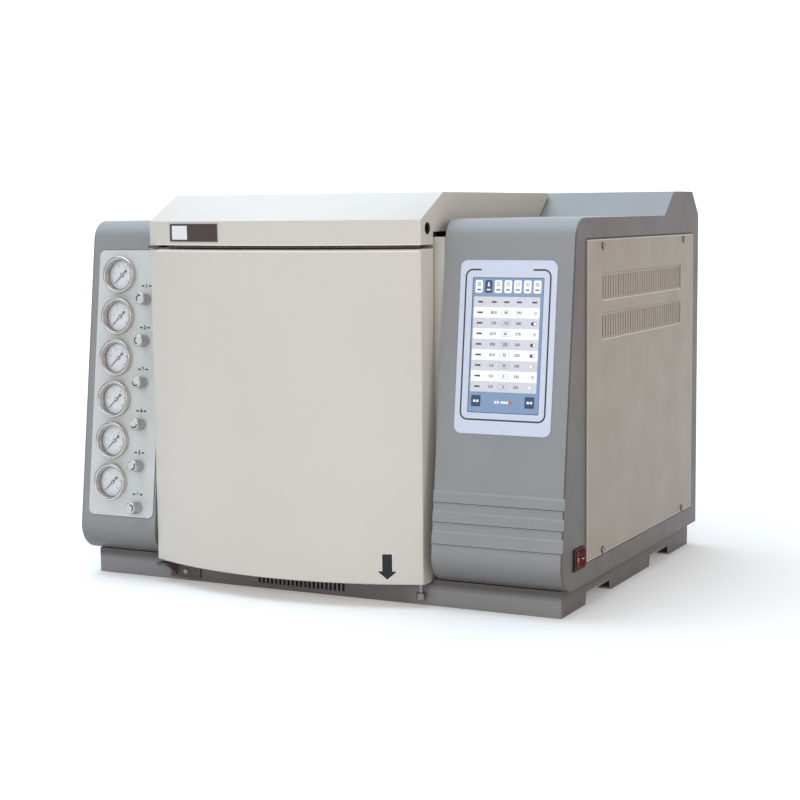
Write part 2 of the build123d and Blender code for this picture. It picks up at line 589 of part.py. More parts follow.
def column_cage():
    """Two crosses and six posts that carry the column, on pegs from the baffle."""
    cage = None
    for y in CAGE_Y:
        for turn in range(0, 180, 60):
            bar = Box(2 * CAGE_POST_R + 6, 3, 6)
            bar = Pos(FAN_X, y, FAN_Z) * Rot(0, turn, 0) * bar
            cage = bar if cage is None else cage + bar
    for i in range(6):
        angle = i * pi / 3
        x, z = FAN_X + CAGE_POST_R * cos(angle), FAN_Z + CAGE_POST_R * sin(angle)
        end = BAFFLE_Y[0] if i % 3 != 0 else CAGE_Y[1]
        cage += rod_along_y(3, x, (CAGE_Y[0], end), z)
    return cage


def capillary_column():
    """The wound column, as one close bundle of turns."""
    radius = CAGE_POST_R + 3 + COLUMN_BUNDLE_R + 0.05
    return Pos(FAN_X, mid(CAGE_Y), FAN_Z) * Rot(90, 0, 0) * Torus(radius, COLUMN_BUNDLE_R)


def exhaust_duct():
    """Square duct from the oven to the rear panel, with the flap's drive on its side."""
    y = (OVEN_Y[1] + SHEET, CASE_BACK - SHEET)
    duct = block(DUCT_X, y, DUCT_Z) - duct_bore((y[0] - 1, y[1] + 1))
    duct -= rod_along_x(2 + RUN, grown(DUCT_X, 1), FLAP_Y, mid(DUCT_Z))
    drive = block((DUCT_X[1], DUCT_X[1] + 22), (FLAP_Y - 18, FLAP_Y + 18), about(mid(DUCT_Z), 18))
    drive -= rod_along_x(2 + RUN, (DUCT_X[1] - 1, DUCT_X[1] + 8), FLAP_Y, mid(DUCT_Z))
    return duct + drive


def exhaust_flap():
    plate_x, plate_z = grown(DUCT_X, -SHEET - 1), grown(DUCT_Z, -SHEET - 1)
    flap = block(plate_x, (FLAP_Y - 0.75, FLAP_Y + 0.75), plate_z)
    return flap + rod_along_x(2, (DUCT_X[0] + 0.2, DUCT_X[1] + 7), FLAP_Y, mid(DUCT_Z))


# ---- Top bay ---------------------------------------------------------------------
def top_deck():
    """Deck over the oven with an upstand under the hood's front edge."""
    y = (FRAME_Y[1], HOOD[0][0] + SHEET)
    deck = block(FRAME_X, y, (DECK_Z, DECK_Z + SHEET))
    deck += block(FRAME_X, (y[1] - SHEET, y[1]), (DECK_Z, CASE_TOP))
    for x, y_at in (INJECTOR_AT, DETECTOR_AT):
        deck -= Pos(x, y_at, 0) * rod(TOWER_R + 0.2, DECK_Z - 1, DECK_Z + SHEET + 1)
    return deck


def injector_body():
    floor = DECK_Z + SHEET
    body = rod(TOWER_R, OVEN_Z[1] - 22, floor + 34) + rod(23, floor, floor + 3)
    body += rod(5, OVEN_Z[1] - 36, OVEN_Z[1] - 22) + rod(8, floor + 34, floor + 40)
    body += Pos(0, 0, floor + 24) * Rot(90, 0, 0) * rod(3, TOWER_R - 1, TOWER_R + 14)
    return Pos(*INJECTOR_AT, 0) * body


def septum_nut():
    floor = DECK_Z + SHEET + 40
    nut = extrude(RegularPolygon(12, 12), amount=11) - rod(1.5, 3, 12)
    return Pos(*INJECTOR_AT, floor) * nut


def detector_body():
    """Flame ionisation detector: heated block on the deck, jet tower above."""
    floor = DECK_Z + SHEET
    body = block((-26, 26), (-26, 26), (floor, floor + 30))
    body += rod(TOWER_R, OVEN_Z[1] - 20, floor) + rod(5, OVEN_Z[1] - 34, OVEN_Z[1] - 20)
    body += rod(12, floor + 30, floor + 50) + rod(9, floor + 50, floor + 56)
    body -= rod(4, floor + 40, floor + 57)
    return Pos(*DETECTOR_AT, 0) * body


# ---- Door ------------------------------------------------------------------------
def bow_radius():
    half = span(DOOR_X) / 2
    return (half**2 + BOW**2) / (2 * BOW)


def bowed_plan(inset, back_y):
    """Plan of the door and lid: bowed front, straight sides and back."""
    centre_y = DOOR_EDGE_Y - BOW + bow_radius()
    radius = bow_radius() - inset
    x0, x1 = grown(DOOR_X, -inset)
    edge_y = centre_y - sqrt(radius**2 - ((x1 - x0) / 2) ** 2)
    bow = ThreePointArc((x0, edge_y), (mid(DOOR_X), centre_y - radius), (x1, edge_y))
    sides = Polyline((x1, edge_y), (x1, back_y), (x0, back_y), (x0, edge_y))
    return make_face([bow, *sides.edges()])


def upright(plan, z):
    return Pos(0, 0, z[0]) * extrude(plan, amount=z[1] - z[0])


def door_shell():
    """Bowed outer door, open to the back, with hinge blocks in its left corners."""
    outer = upright(bowed_plan(0, DOOR_BACK_Y), DOOR_Z)
    front = outer.faces().filter_by(GeomType.CYLINDER)[0]
    outer = fillet(front.edges(), DOOR_ROUND)
    shell = outer - upright(bowed_plan(DOOR_WALL, DOOR_BACK_Y + 1), grown(DOOR_Z, -DOOR_WALL))
    corner_x, corner_y = (DOOR_X[0], HINGE_X + 10), (DOOR_EDGE_Y - 12, HINGE_Y + 12)
    for z in ((DOOR_Z[0], DOOR_Z[0] + 14), (DOOR_Z[1] - 14, DOOR_Z[1])):
        shell += outer & block(corner_x, corner_y, z)
    for z in ((DOOR_Z[0] - 1, DOOR_Z[0] + 12), (DOOR_Z[1] - 12, DOOR_Z[1] + 1)):
        shell -= Pos(HINGE_X, HINGE_Y, 0) * rod(HINGE_PIN_R + RUN, *z)
    stem = rod(LATCH_STEM_R + RUN, DOOR_Z[0] - 1, DOOR_Z[0] + DOOR_WALL + 1)
    return shell - Pos(LATCH_X, LATCH_Y, 0) * stem


def door_inner_pan():
    """Inside sheet of the door, pressed out into the plug that fills the oven mouth."""
    pan_x, pan_z = grown(DOOR_X, -DOOR_WALL), grown(DOOR_Z, -DOOR_WALL)
    pan = block(pan_x, (DOOR_BACK_Y - SHEET, DOOR_BACK_Y), pan_z)
    plug = block(PLUG_X, (DOOR_BACK_Y, PLUG_BACK), PLUG_Z)
    back = plug.faces().sort_by(Axis.Y)[-1]
    pan += fillet(back.edges(), 3)
    hollow_y = (DOOR_BACK_Y - SHEET - 1, PLUG_BACK - SHEET)
    return pan - block(grown(PLUG_X, -SHEET), hollow_y, grown(PLUG_Z, -SHEET))


def door_seal():
    """Woven rope seal round the plug, just clear of the frame."""
    y = (DOOR_BACK_Y, FRAME_Y[0] - FREE)
    ring = block(grown(OVEN_X, 10), y, grown(OVEN_Z, 10))
    edges = ring.faces().sort_by(Axis.Y)[-1].edges()
    ring = fillet(edges, 1.5)
    return ring - block(grown(OVEN_X, 2), grown(y, 1), grown(OVEN_Z, 2))


def latch_button():
    """Push button under the door: ribbed knob, stem and inner collar."""
    knob_z = (8.3, 16.3)
    button = chamfer(rod(LATCH_KNOB_R, *knob_z).edges().filter_by(GeomType.CIRCLE), 0.8)
    for z in (11.3, 13.9):
        button -= rod(LATCH_KNOB_R + 1, z, z + 0.9) - rod(LATCH_KNOB_R - 0.7, z - 1, z + 2)
    inside = DOOR_Z[0] + DOOR_WALL + FREE
    button += rod(LATCH_STEM_R, knob_z[1], inside + 18) + rod(5, inside, inside + 3)
    return Pos(LATCH_X, LATCH_Y, 0) * button


def door_hinge_brackets():
    """Lower bracket on the plinth and upper strap on the oven frame, with their pins."""
    tab_y = (HINGE_Y - 6, PLINTH_FRONT)
    fold_y = PLINTH_FRONT - BRACKET_THICK
    lower = block(BRACKET_X, (fold_y, PLINTH_FRONT), (4, LOWER_TAB_Z[1]))
    lower += block(TAB_X, tab_y, LOWER_TAB_Z)
    rib = [(fold_y, 6), (fold_y, LOWER_TAB_Z[0]), (HINGE_Y - 2, LOWER_TAB_Z[0])]
    lower += across(polygon(rib), (-199, -196.5))
    lower += Pos(HINGE_X, HINGE_Y, 0) * rod(HINGE_PIN_R, LOWER_TAB_Z[1], DOOR_Z[0] + 11)
    upper = block(TAB_X, (HINGE_Y - 6, FRAME_Y[0]), UPPER_TAB_Z)
    upper += block(STRAP_X, (STRAP_FRONT, FRAME_Y[0]), UPPER_TAB_Z)
    upper += block(STRAP_X, (FRAME_Y[0] - BRACKET_THICK, FRAME_Y[0]), (UPPER_TAB_Z[0], 424))
    upper += Pos(HINGE_X, HINGE_Y, 0) * rod(HINGE_PIN_R, DOOR_Z[1] - 11, UPPER_TAB_Z[0])
    return Compound(children=[lower, upper])


# ---- Lid -------------------------------------------------------------------------
def hood_line():
    """Unit vectors along the hood's front slope and out of it, as (y, z)."""
    (ay, az), (by, bz) = HOOD[0], HOOD[1]
    length = hypot(by - ay, bz - az)
    along = ((by - ay) / length, (bz - az) / length)
    return along, (along[1], -along[0])


def lid_axis_z():
    return LID_TOP_Z - LID_ROLL_R


def lid_back_y(z, inset):
    """The lid's back face: parallel to the hood's slope, tangent to the rolled edge."""
    along, inward = hood_line()
    reach = LID_ROLL_R - inset
    touch_y, touch_z = LID_AXIS_Y + inward[0] * reach, lid_axis_z() + inward[1] * reach
    return touch_y + (z - touch_z) * along[0] / along[1]


def lid_top_plan(crest_y, back_y, inset):
    x0, x1 = grown(DOOR_X, -inset)
    return polygon([(x0, crest_y), (x1, crest_y), (x1, back_y), (x0, back_y)])


def lid_form(inset):
    """The lid's solid form, inset by a wall: bowed lip below, ruled slope above."""
    top_z, break_back = LID_TOP_Z - inset, lid_back_y(LID_BREAK_Z, inset)
    low_z = LID_LIP_Z if inset == 0 else LID_LIP_Z - 1
    low = upright(bowed_plan(inset, break_back), (low_z, LID_BREAK_Z))
    base = Pos(0, 0, LID_BREAK_Z) * bowed_plan(inset, break_back)
    crest = lid_top_plan(LID_CREST_Y + inset, lid_back_y(top_z, inset), inset)
    return low + loft([base, Pos(0, 0, top_z) * crest], ruled=True)


def lid_cover():
    lid = lid_form(0) - lid_form(LID_WALL)
    lid -= block(grown(DOOR_X, 1), (LID_STEP_Y, LID_AXIS_Y), (LID_LIP_Z - 2, LID_SIDE_Z))
    inward = hood_line()[1]
    axis = (LID_AXIS_Y, lid_axis_z())
    far = (axis[0] + 40 * inward[0], axis[1] + 40 * inward[1])
    beyond = polygon([axis, (axis[0], axis[1] + 8), (far[0], axis[1] + 8), far])
    lid -= across(beyond, grown(DOOR_X, 1))
    lid += rod_along_x(LID_ROLL_R, DOOR_X, *axis)
    for x in LID_LUGS_X:
        lid -= rod_along_x(LID_ROLL_R + 0.6, about(x, LUG_WIDTH / 2 + 0.5), *axis)
        reach = LUG_WIDTH / 2 + LID_PIN_REACH + 0.5
        lid -= rod_along_x(LID_PIN_R + RUN, about(x, reach), *axis)
    return lid - rod_along_x(GROMMET_R, (DOOR_X[1] - 5, DOOR_X[1] + 1), GROMMET_Y, GROMMET_Z)


def lid_hinges():
    """Two lugs on the hood's slope, each with a pin to both sides."""
    along, inward = hood_line()
    axis = (LID_AXIS_Y, lid_axis_z())
    to_hood = (HOOD[0][0] - axis[0]) * inward[0] + (HOOD[0][1] - axis[1]) * inward[1]
    low, high = [(axis[0] + side * 2 * along[0], axis[1] + side * 2 * along[1]) for side in (-1, 1)]
    reach = (to_hood * inward[0], to_hood * inward[1])
    web = [low, high, (high[0] + reach[0], high[1] + reach[1]), (low[0] + reach[0], low[1] + reach[1])]
    lugs = []
    for x in LID_LUGS_X:
        lug_x = about(x, LUG_WIDTH / 2)
        lug = across(polygon(web), lug_x) + rod_along_x(LID_ROLL_R - 0.1, lug_x, *axis)
        lugs.append(lug + rod_along_x(LID_PIN_R, about(x, LUG_WIDTH / 2 + LID_PIN_REACH), *axis))
    return Compound(children=lugs)


# ---- Export ----------------------------------------------------------------------
PARTS = {
    "base_plinth": base_plinth,
    "left_side_panel": left_side_panel,
    "right_side_panel": right_side_panel,
    "left_fascia": left_fascia,
    "right_fascia": right_fascia,
    "bay_partitions": bay_partitions,
    "rear_hood": rear_hood,
    "rear_panel": rear_panel,
    "gas_fittings": gas_fittings,
    "control_panel": control_panel,
    "right_side_cover": right_side_cover,
    "panel_screws": panel_screws,
    "display_overlay": display_overlay,
    "display_module": display_module,
    "main_board": main_board,
    "power_supply": power_supply,
    "cooler_housing": cooler_housing,
    "cooler_rotor": cooler_rotor,
    "rocker_housing": rocker_housing,
    "power_rocker": power_rocker,
    "power_inlet": power_inlet,
    "oven_front_frame": oven_front_frame,
    "oven_liner": oven_liner,
    "oven_insulation": oven_insulation,
    "fan_baffle": fan_baffle,
    "heater_coil": heater_coil,
    "oven_fan": oven_fan,
    "oven_motor": oven_motor,
    "column_cage": column_cage,
    "capillary_column": capillary_column,
    "exhaust_duct": exhaust_duct,
    "exhaust_flap": exhaust_flap,
    "top_deck": top_deck,
    "injector_body": injector_body,
    "septum_nut": septum_nut,
    "detector_body": detector_body,
    "door_shell": door_shell,
    "door_inner_pan": door_inner_pan,
    "door_seal": door_seal,
    "latch_button": latch_button,
    "door_hinge_brackets": door_hinge_brackets,
    "lid_cover": lid_cover,
    "lid_hinges": lid_hinges,
}


def gauge_group(piece):
    """The same piece at every gauge, as separate solids."""
    return Compound(children=[on_face(GAUGE_X, z) * piece for z in gauge_heights()])


for name, build in PARTS.items():
    export_step(build(), f"parts/{name}.step")

export_step(gauge_group(gauge_case()), "parts/gauge_cases.step")
dial = rod(GAUGE_BORE_R - 0.1, DIAL_TOP - 0.5, DIAL_TOP) - rod(0.6, DIAL_TOP - 1, DIAL_TOP + 1)
export_step(gauge_group(dial), "parts/gauge_dials.step")
export_step(gauge_group(rod(BEZEL_BORE_R - 0.1, *LENS_Z)), "parts/gauge_lenses.step")
bodies = [on_face(KNOB_X, z - KNOB_DROP) * regulator_body() for z in gauge_heights()]
export_step(Compound(children=bodies), "parts/regulator_bodies.step")
for number, z in enumerate(gauge_heights(), start=1):
    export_step(on_face(GAUGE_X, z) * gauge_needle(), f"parts/gauge_needle_{number}.step")
    export_step(on_face(KNOB_X, z - KNOB_DROP) * knob(), f"parts/regulator_knob_{number}.step")
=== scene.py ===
import json
from math import atan, cos, pi, radians, sin, sqrt

import bpy
from mathutils import Matrix, Vector


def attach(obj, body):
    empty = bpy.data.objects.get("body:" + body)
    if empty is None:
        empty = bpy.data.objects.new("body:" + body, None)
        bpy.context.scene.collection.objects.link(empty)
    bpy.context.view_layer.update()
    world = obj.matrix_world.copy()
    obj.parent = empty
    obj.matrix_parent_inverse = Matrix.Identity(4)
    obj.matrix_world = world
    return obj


# Looks of the bench gas chromatograph. Sizes below are in millimetres, as in the solids,
# except in the studio and where a shader needs metres.
MM = 0.001

# Leaning front face of both bays: y = foot + slope * z
FACE_FOOT_Y, FACE_SLOPE = -246.8, 36.0 / 294.0
FACE_TILT = atan(FACE_SLOPE)

# Gauges and their knobs
GAUGE_X, KNOB_X, GAUGE_TOP_Z, GAUGE_PITCH, GAUGE_COUNT = -280.4, -239.6, 378.4, 51.6, 6
KNOB_DROP, KNOB_FRONT, LABEL_RISE = 29.8, 18.0, 16.5
DIAL_TOP, DIAL_START, DIAL_SWEEP = -1.5, 225.0, 270.0
HUB_TOP, HUB_R = 0.2, 1.5
GAUGE_WALL_R, LENS_LOW = 18.35, 2.8

# Print on a dial, by radius, and the mark on a knob's polished end
ARC_R, RIM_R, FIGURE_R = (16.2, 16.5), (17.3, 17.6), 11.4
TICK_OUT, TICK_LONG, TICK_MIDDLE, TICK_SHORT, DIAL_TICKS = 16.3, 14.0, 15.2, 15.6, 50
CAP_R, CAP_ARC_R, CAP_HEAD_R, CAP_SWEEP = 6.2, (3.2, 4.9), 4.2, 130

# Gauge panel
PANEL_X, PANEL_Z, PANEL_CORNER, PANEL_FACE = (-314.0, -217.0), (78.5, 409.4), 8.0, 1.0

# Display: the glass and the ring printed on its overlay
SCREEN_X, SCREEN_Z, SCREEN_FACE = (203.0, 289.5), (228.7, 380.0), 0.5
RING_X, RING_Z, RING_FACE, RING_CORNER = (193.8, 298.0), (220.0, 389.6), 1.0, 9.0
RING_GAP_X, RING_WIDTH = (213.0, 276.0), 1.9
TABLE_ROW = 11.9
READINGS = (("80.0", "80"), ("150", "150"), ("60.0", "60"), ("200", "200"))
READINGS += (("45.0", "45"), ("0.0", "30"), ("0.0", "0"), ("0.0", "0"))
SWITCHED = (False, True, False, True, True, False, False, False)
# Layers of the display's picture, each just above the one under it
FIELD, CELL, TEXT, SIGN, DOT = 0.03, 0.06, 0.1, 0.11, 0.13

# How far ink and thin trim stand off the face under them
FINE_LIFT, INK_LIFT, SEAM_LIFT, SHADOW_RING_LIFT = 0.04, 0.05, 0.06, 0.09

# Bowed door and lid, in plan
DOOR_X, DOOR_EDGE_Y, BOW = (-212.0, 154.0), -235.0, 40.0
BOW_RADIUS = (((DOOR_X[1] - DOOR_X[0]) / 2) ** 2 + BOW**2) / (2 * BOW)
DOOR_TOP_Z, LIP_Z, EDGE_STEPS = 412.5, 417.0, 48
SEAL_X, SEAL_LOW_Z, SEAL_BACK, SEAL_THICK, SEAL_SAG, SEAL_STEPS = (-176.0, 153.0), 413.9, 0.5, 2.2, 0.35, 54
ARROW_X, ARROW_TIP_Z, ARROW_NECK_Z, ARROW_TOP_Z = 115.5, 34.0, 44.0, 64.0
ARROW_SHAFT, ARROW_HEAD = 11.0, 21.4
BADGE_X, BADGE_Z = (-172.6, -91.3), (420.4, 443.4)
BADGE_SQUARE_X, BADGE_SQUARE_Z = (-167.6, -140.8), (423.6, 440.2)
GROMMET_Y, GROMMET_Z, GROMMET_R = -217.5, 435.6, 7.0

# Side cover and its screws, the plinth, and the painted shade and painted shadow lines of the case
CASE_HALF, COVER_FACE = 325.0, 326.5
COVER_Y, COVER_Z = (-164.6, 236.5), (55.9, 421.4)
COVER_SCREWS = ((-114.0, 414.0), (194.0, 415.0), (-112.0, 61.5), (194.0, 61.5))
SCREW_TOP, SCREW_R = 328.5, 3.6
PLINTH_FRONT, PLINTH_SHEET, PLINTH_TOP = -215.0, 2.0, 31.0
VENT_X, VENT_Z = (-82.0, 43.0), (4.0, 22.0)
TOE_Z = (33.0, 72.0)
DOOR_SHADE_X = (-205.0, 150.0)
LOUVRE_Y, LOUVRES_Z = (-116.0, 183.0), ((352.0, 381.5), (307.0, 336.0))
BAND_X, BANDS_LOW_Z = (167.0, 325.0), (126.0, 103.7, 78.8)

# Power rocker, resting with its rear end out
ROCKER_PIVOT, ROCKER_TILT = (322.0, -188.75, 64.5), 9.0
ROCKER_DISH, ROCKER_END, ROCKER_HALF, ROCKER_MARK = 5.6, 8.2, 13.0, 5.5

# Paints. The side grey and the cover's beige are darker copies of the grey and beige: painted shade of the
# right side.
GREY, SHADED_SIDE_GREY, REAR_GREY = (0.270, 0.276, 0.280), (0.092, 0.074, 0.068), (0.205, 0.198, 0.195)
BEIGE, SHADED_COVER_BEIGE = (0.62, 0.585, 0.53), (0.297, 0.251, 0.203)

# Studio, in metres: the floor, and the bend that turns it up into the wall
FLOOR_Y, FLOOR_HALF, BEND, WALL_TOP = (-6.0, 3.6), 9.0, 2.0, 7.0

# Camera
CAMERA_AT = (987.6, -1956.8, 456.8)
CAMERA_YAW, CAMERA_PITCH, CAMERA_ROLL = 26.581, 6.399, -0.5533
LENS, SENSOR = 76.41, 36.0


# ---- Places ----------------------------------------------------------------------
def metres(point):
    return tuple(value * MM for value in point)


def face_y(z):
    return FACE_FOOT_Y + FACE_SLOPE * z


def on_face(x, z, lift=0.0):
    """From local (across, up along the face, outwards) millimetres to world metres."""
    up, out = (0, sin(FACE_TILT), cos(FACE_TILT)), (0, -cos(FACE_TILT), sin(FACE_TILT))
    rows = ((1, up[0], out[0], x), (0, up[1], out[1], face_y(z)), (0, up[2], out[2], z), (0, 0, 0, 1))
    return Matrix.Scale(MM, 4) @ Matrix(rows) @ Matrix.Translation((0, 0, lift))


def gauge_heights():
    return [GAUGE_TOP_Z - i * GAUGE_PITCH for i in range(GAUGE_COUNT)]


def bow_y(x):
    """Front surface of the door and the lid's lip."""
    middle = (DOOR_X[0] + DOOR_X[1]) / 2
    return DOOR_EDGE_Y - BOW + BOW_RADIUS - sqrt(BOW_RADIUS**2 - (x - middle) ** 2)


# ---- Materials -------------------------------------------------------------------
class Surface:
    """A Principled material in the object's own metres, with procedural detail."""

    def __init__(self, name, color, roughness, **sockets):
        self.material = bpy.data.materials.new(name)
        self.material.use_nodes = True
        self.nodes, self.links = self.material.node_tree.nodes, self.material.node_tree.links
        self.shader = self.nodes["Principled BSDF"]
        self.color, self.roughness = color, roughness
        self.shader.inputs["Base Color"].default_value = (*color, 1)
        self.shader.inputs["Roughness"].default_value = roughness
        for socket, value in sockets.items():
            self.shader.inputs[socket.replace("_", " ")].default_value = value
        self.place = self.nodes.new("ShaderNodeTexCoord").outputs["Object"]

    def node(self, kind, **settings):
        node = self.nodes.new(kind)
        for key, value in settings.items():
            setattr(node, key, value)
        return node

    def stretched(self, scale):
        """Object coordinates with each axis scaled on its own."""
        mapping = self.node("ShaderNodeMapping")
        mapping.inputs["Scale"].default_value = scale
        self.links.new(self.place, mapping.inputs["Vector"])
        return mapping.outputs["Vector"]

    def noise(self, scale, detail=2.0, at=None):
        noise = self.node("ShaderNodeTexNoise")
        noise.inputs["Scale"].default_value = scale
        noise.inputs["Detail"].default_value = detail
        self.links.new(at or self.place, noise.inputs["Vector"])
        return noise.outputs["Fac"]

    def ranged(self, value, low, high, source=(0.3, 0.7)):
        ranged = self.node("ShaderNodeMapRange")
        for socket, number in zip(("From Min", "From Max", "To Min", "To Max"), (*source, low, high)):
            ranged.inputs[socket].default_value = number
        self.links.new(value, ranged.inputs["Value"])
        return ranged.outputs["Result"]

    def tinted(self, value, first, second):
        """Base colour between two colours, by a value from 0 to 1."""
        ramp = self.node("ShaderNodeValToRGB")
        ramp.color_ramp.elements[0].color, ramp.color_ramp.elements[1].color = (*first, 1), (*second, 1)
        self.links.new(value, ramp.inputs["Fac"])
        self.links.new(ramp.outputs["Color"], self.shader.inputs["Base Color"])
        return self

    def mottled(self, scale, spread):
        """Slow change of shade, by a share of the colour."""
        low, high = ([min(1, c * (1 + side * spread)) for c in self.color] for side in (-1, 1))
        return self.tinted(self.ranged(self.noise(scale, 3), 0, 1), low, high)

    def shaded(self, axis, source, tint):
        """Tints the colour more and more from source[0] to source[1], in metres along an axis."""
        split = self.node("ShaderNodeSeparateXYZ")
        self.links.new(self.place, split.inputs["Vector"])
        return self.darkened(self.ranged(split.outputs[axis], 0, 1, source), tint)

    def between(self, axis, low, high, soft, tint):
        """Tints the colour between two places on an axis, in metres, with soft ends."""
        split, least = self.node("ShaderNodeSeparateXYZ"), self.node("ShaderNodeMath", operation="MINIMUM")
        self.links.new(self.place, split.inputs["Vector"])
        for socket, ends in enumerate(((low, low + soft), (high, high - soft))):
            self.links.new(self.ranged(split.outputs[axis], 0, 1, ends), least.inputs[socket])
        return self.darkened(least.outputs["Value"], tint)

    def sided(self, tint):
        """Tints the faces that look left or right."""
        split = self.node("ShaderNodeSeparateXYZ")
        self.links.new(self.node("ShaderNodeTexCoord").outputs["Normal"], split.inputs["Vector"])
        facing = self.node("ShaderNodeMath", operation="ABSOLUTE")
        self.links.new(split.outputs["X"], facing.inputs[0])
        return self.darkened(self.ranged(facing.outputs["Value"], 0, 1, (0.5, 0.9)), tint)

    def darkened(self, amount, tint):
        """Multiplies the base colour by a tint, by an amount from 0 to 1."""
        mix = self.node("ShaderNodeMix", data_type="RGBA", blend_type="MULTIPLY")
        color = self.shader.inputs["Base Color"]
        factor, first, second = (mix.inputs[i] for i in (0, 6, 7))
        first.default_value, second.default_value = color.default_value, (*tint, 1)
        if color.links:
            self.links.new(color.links[0].from_socket, first)
        self.links.new(amount, factor)
        self.links.new(mix.outputs[2], color)
        return self

    def worn(self, scale, spread):
        """Uneven gloss, from handling and cleaning."""
        rough = self.ranged(self.noise(scale, 5), self.roughness - spread, self.roughness + spread)
        self.links.new(rough, self.shader.inputs["Roughness"])
        return self

    def bumped(self, height, strength, distance):
        bump = self.node("ShaderNodeBump")
        bump.inputs["Strength"].default_value = strength
        bump.inputs["Distance"].default_value = distance
        self.links.new(height, bump.inputs["Height"])
        before = self.shader.inputs["Normal"].links
        if before:
            self.links.new(before[0].from_socket, bump.inputs["Normal"])
        self.links.new(bump.outputs["Normal"], self.shader.inputs["Normal"])
        return self

    def grained(self, scale, strength, distance=0.0002):
        """Fine even texture; the distance is in metres."""
        return self.bumped(self.noise(scale), strength, distance)

    def brushed(self, along, strength=0.25):
        """Fine lines along one axis, given as the mapping's scale."""
        lines = self.noise(1.0, 4, self.stretched(along))
        rough = self.ranged(lines, self.roughness - 0.08, self.roughness + 0.12)
        self.links.new(rough, self.shader.inputs["Roughness"])
        return self.bumped(lines, strength, 0.00008)


def coated(name, color, roughness=0.42, texture=0.16):
    """Baked powder coat: orange peel, faint cloudiness and uneven gloss."""
    paint = Surface(name, color, roughness, Coat_Weight=0.06, Coat_Roughness=0.3)
    paint.mottled(9, 0.025).worn(22, 0.05)
    return paint.grained(1100, texture, 0.0001).grained(260, texture * 0.6, 0.0002)


def powder_coat(*settings):
    return coated(*settings).material


def case_paint():
    """Case grey, with painted shade that darkens it low on the toe."""
    paint = coated("fascia_paint", GREY)
    return paint.shaded("Z", (TOE_Z[1] * MM, TOE_Z[0] * MM), (0.30, 0.27, 0.26)).material


def plinth_paint():
    """Plinth grey with painted shade: darker on its ends, and painted shadow behind the foot of the door and
    close under the case.
    """
    paint = coated("plinth_paint", (0.245, 0.242, 0.245), 0.5, 0.2).sided((0.44, 0.38, 0.34))
    paint.between("X", DOOR_SHADE_X[0] * MM, DOOR_SHADE_X[1] * MM, 0.03, (0.60, 0.56, 0.54))
    return paint.shaded("Z", ((PLINTH_TOP - 13) * MM, (PLINTH_TOP - 5) * MM), (0.36, 0.31, 0.29)).material


def moulded(name, color, roughness=0.4, texture=0.12):
    """Moulded plastic: fine spark texture and slow flow shading."""
    plastic = Surface(name, color, roughness, Specular_IOR_Level=0.45)
    plastic.mottled(5, 0.02).worn(30, 0.05)
    return plastic.grained(1700, texture, 0.00008).material


def steel(name, color, roughness, along, strength=0.25):
    return Surface(name, color, roughness, Metallic=1.0).mottled(14, 0.05).brushed(along, strength).material


def board_laminate(name):
    """Green laminate with lighter copper tracks under the mask."""
    board = Surface(name, (0.02, 0.16, 0.06), 0.35, Coat_Weight=0.4)
    tracks = board.node("ShaderNodeTexBrick")
    for socket, value in (("Scale", 220.0), ("Mortar Size", 0.06), ("Brick Width", 2.4), ("Row Height", 0.5)):
        tracks.inputs[socket].default_value = value
    board.links.new(board.place, tracks.inputs["Vector"])
    return board.tinted(tracks.outputs["Fac"], (0.02, 0.16, 0.06), (0.05, 0.3, 0.1)).material


def wool_slab(name):
    wool = Surface(name, (0.72, 0.66, 0.45), 0.95, Sheen_Weight=0.3)
    fibres = wool.noise(1.0, 6, wool.stretched((120, 900, 120)))
    wool.tinted(wool.ranged(fibres, 0, 1), (0.55, 0.5, 0.32), (0.85, 0.8, 0.62))
    return wool.bumped(fibres, 0.9, 0.002).material


def woven_rope(name):
    """Braided glass rope: crossing strands."""
    rope = Surface(name, (0.68, 0.66, 0.6), 0.9, Sheen_Weight=0.2)
    strands = []
    for turn in ((1, 0, 1), (-1, 0, 1)):
        wave = rope.node("ShaderNodeTexWave", wave_type="BANDS", bands_direction="DIAGONAL")
        wave.inputs["Scale"].default_value = 160
        wave.inputs["Distortion"].default_value = 0.6
        rope.links.new(rope.stretched(turn), wave.inputs["Vector"])
        strands.append(wave.outputs["Fac"])
    both = rope.node("ShaderNodeMath", operation="MULTIPLY")
    for socket, strand in enumerate(strands):
        rope.links.new(strand, both.inputs[socket])
    rope.tinted(both.outputs["Value"], (0.42, 0.4, 0.35), (0.8, 0.78, 0.72))
    return rope.bumped(both.outputs["Value"], 0.8, 0.0008).material


def wound_column(name):
    """Polyimide-coated capillary, turn beside turn round the bundle."""
    column = Surface(name, (0.30, 0.12, 0.03), 0.28, Coat_Weight=0.6)
    turns = column.node("ShaderNodeTexWave", wave_type="BANDS", bands_direction="Y")
    turns.inputs["Scale"].default_value = 340
    turns.inputs["Distortion"].default_value = 0.8
    column.links.new(column.place, turns.inputs["Vector"])
    column.tinted(turns.outputs["Fac"], (0.16, 0.05, 0.01), (0.5, 0.24, 0.07))
    return column.bumped(turns.outputs["Fac"], 0.7, 0.0004).material


def heated_sheath(name):
    """Heater sheath, straw and blue from heat in places."""
    sheath = Surface(name, (0.25, 0.18, 0.13), 0.42, Metallic=0.9)
    sheath.tinted(sheath.ranged(sheath.noise(40, 4), 0, 1), (0.10, 0.09, 0.12), (0.34, 0.22, 0.12))
    return sheath.grained(900, 0.3).material


def clear(name, color):
    """Thin clear window, mostly see-through, with a faint sheen."""
    window = Surface(name, color, 0.02, Alpha=0.10, IOR=1.3)
    return window.worn(60, 0.015).material


def ink(name, color, roughness=0.5, glow=0.0):
    """Printed or lit flat colour, very slightly uneven."""
    print_ = Surface(name, color, roughness, Specular_IOR_Level=0.3)
    print_.mottled(400, 0.03)
    if glow:
        print_.shader.inputs["Emission Color"].default_value = (*color, 1)
        print_.shader.inputs["Emission Strength"].default_value = glow
    return print_.material


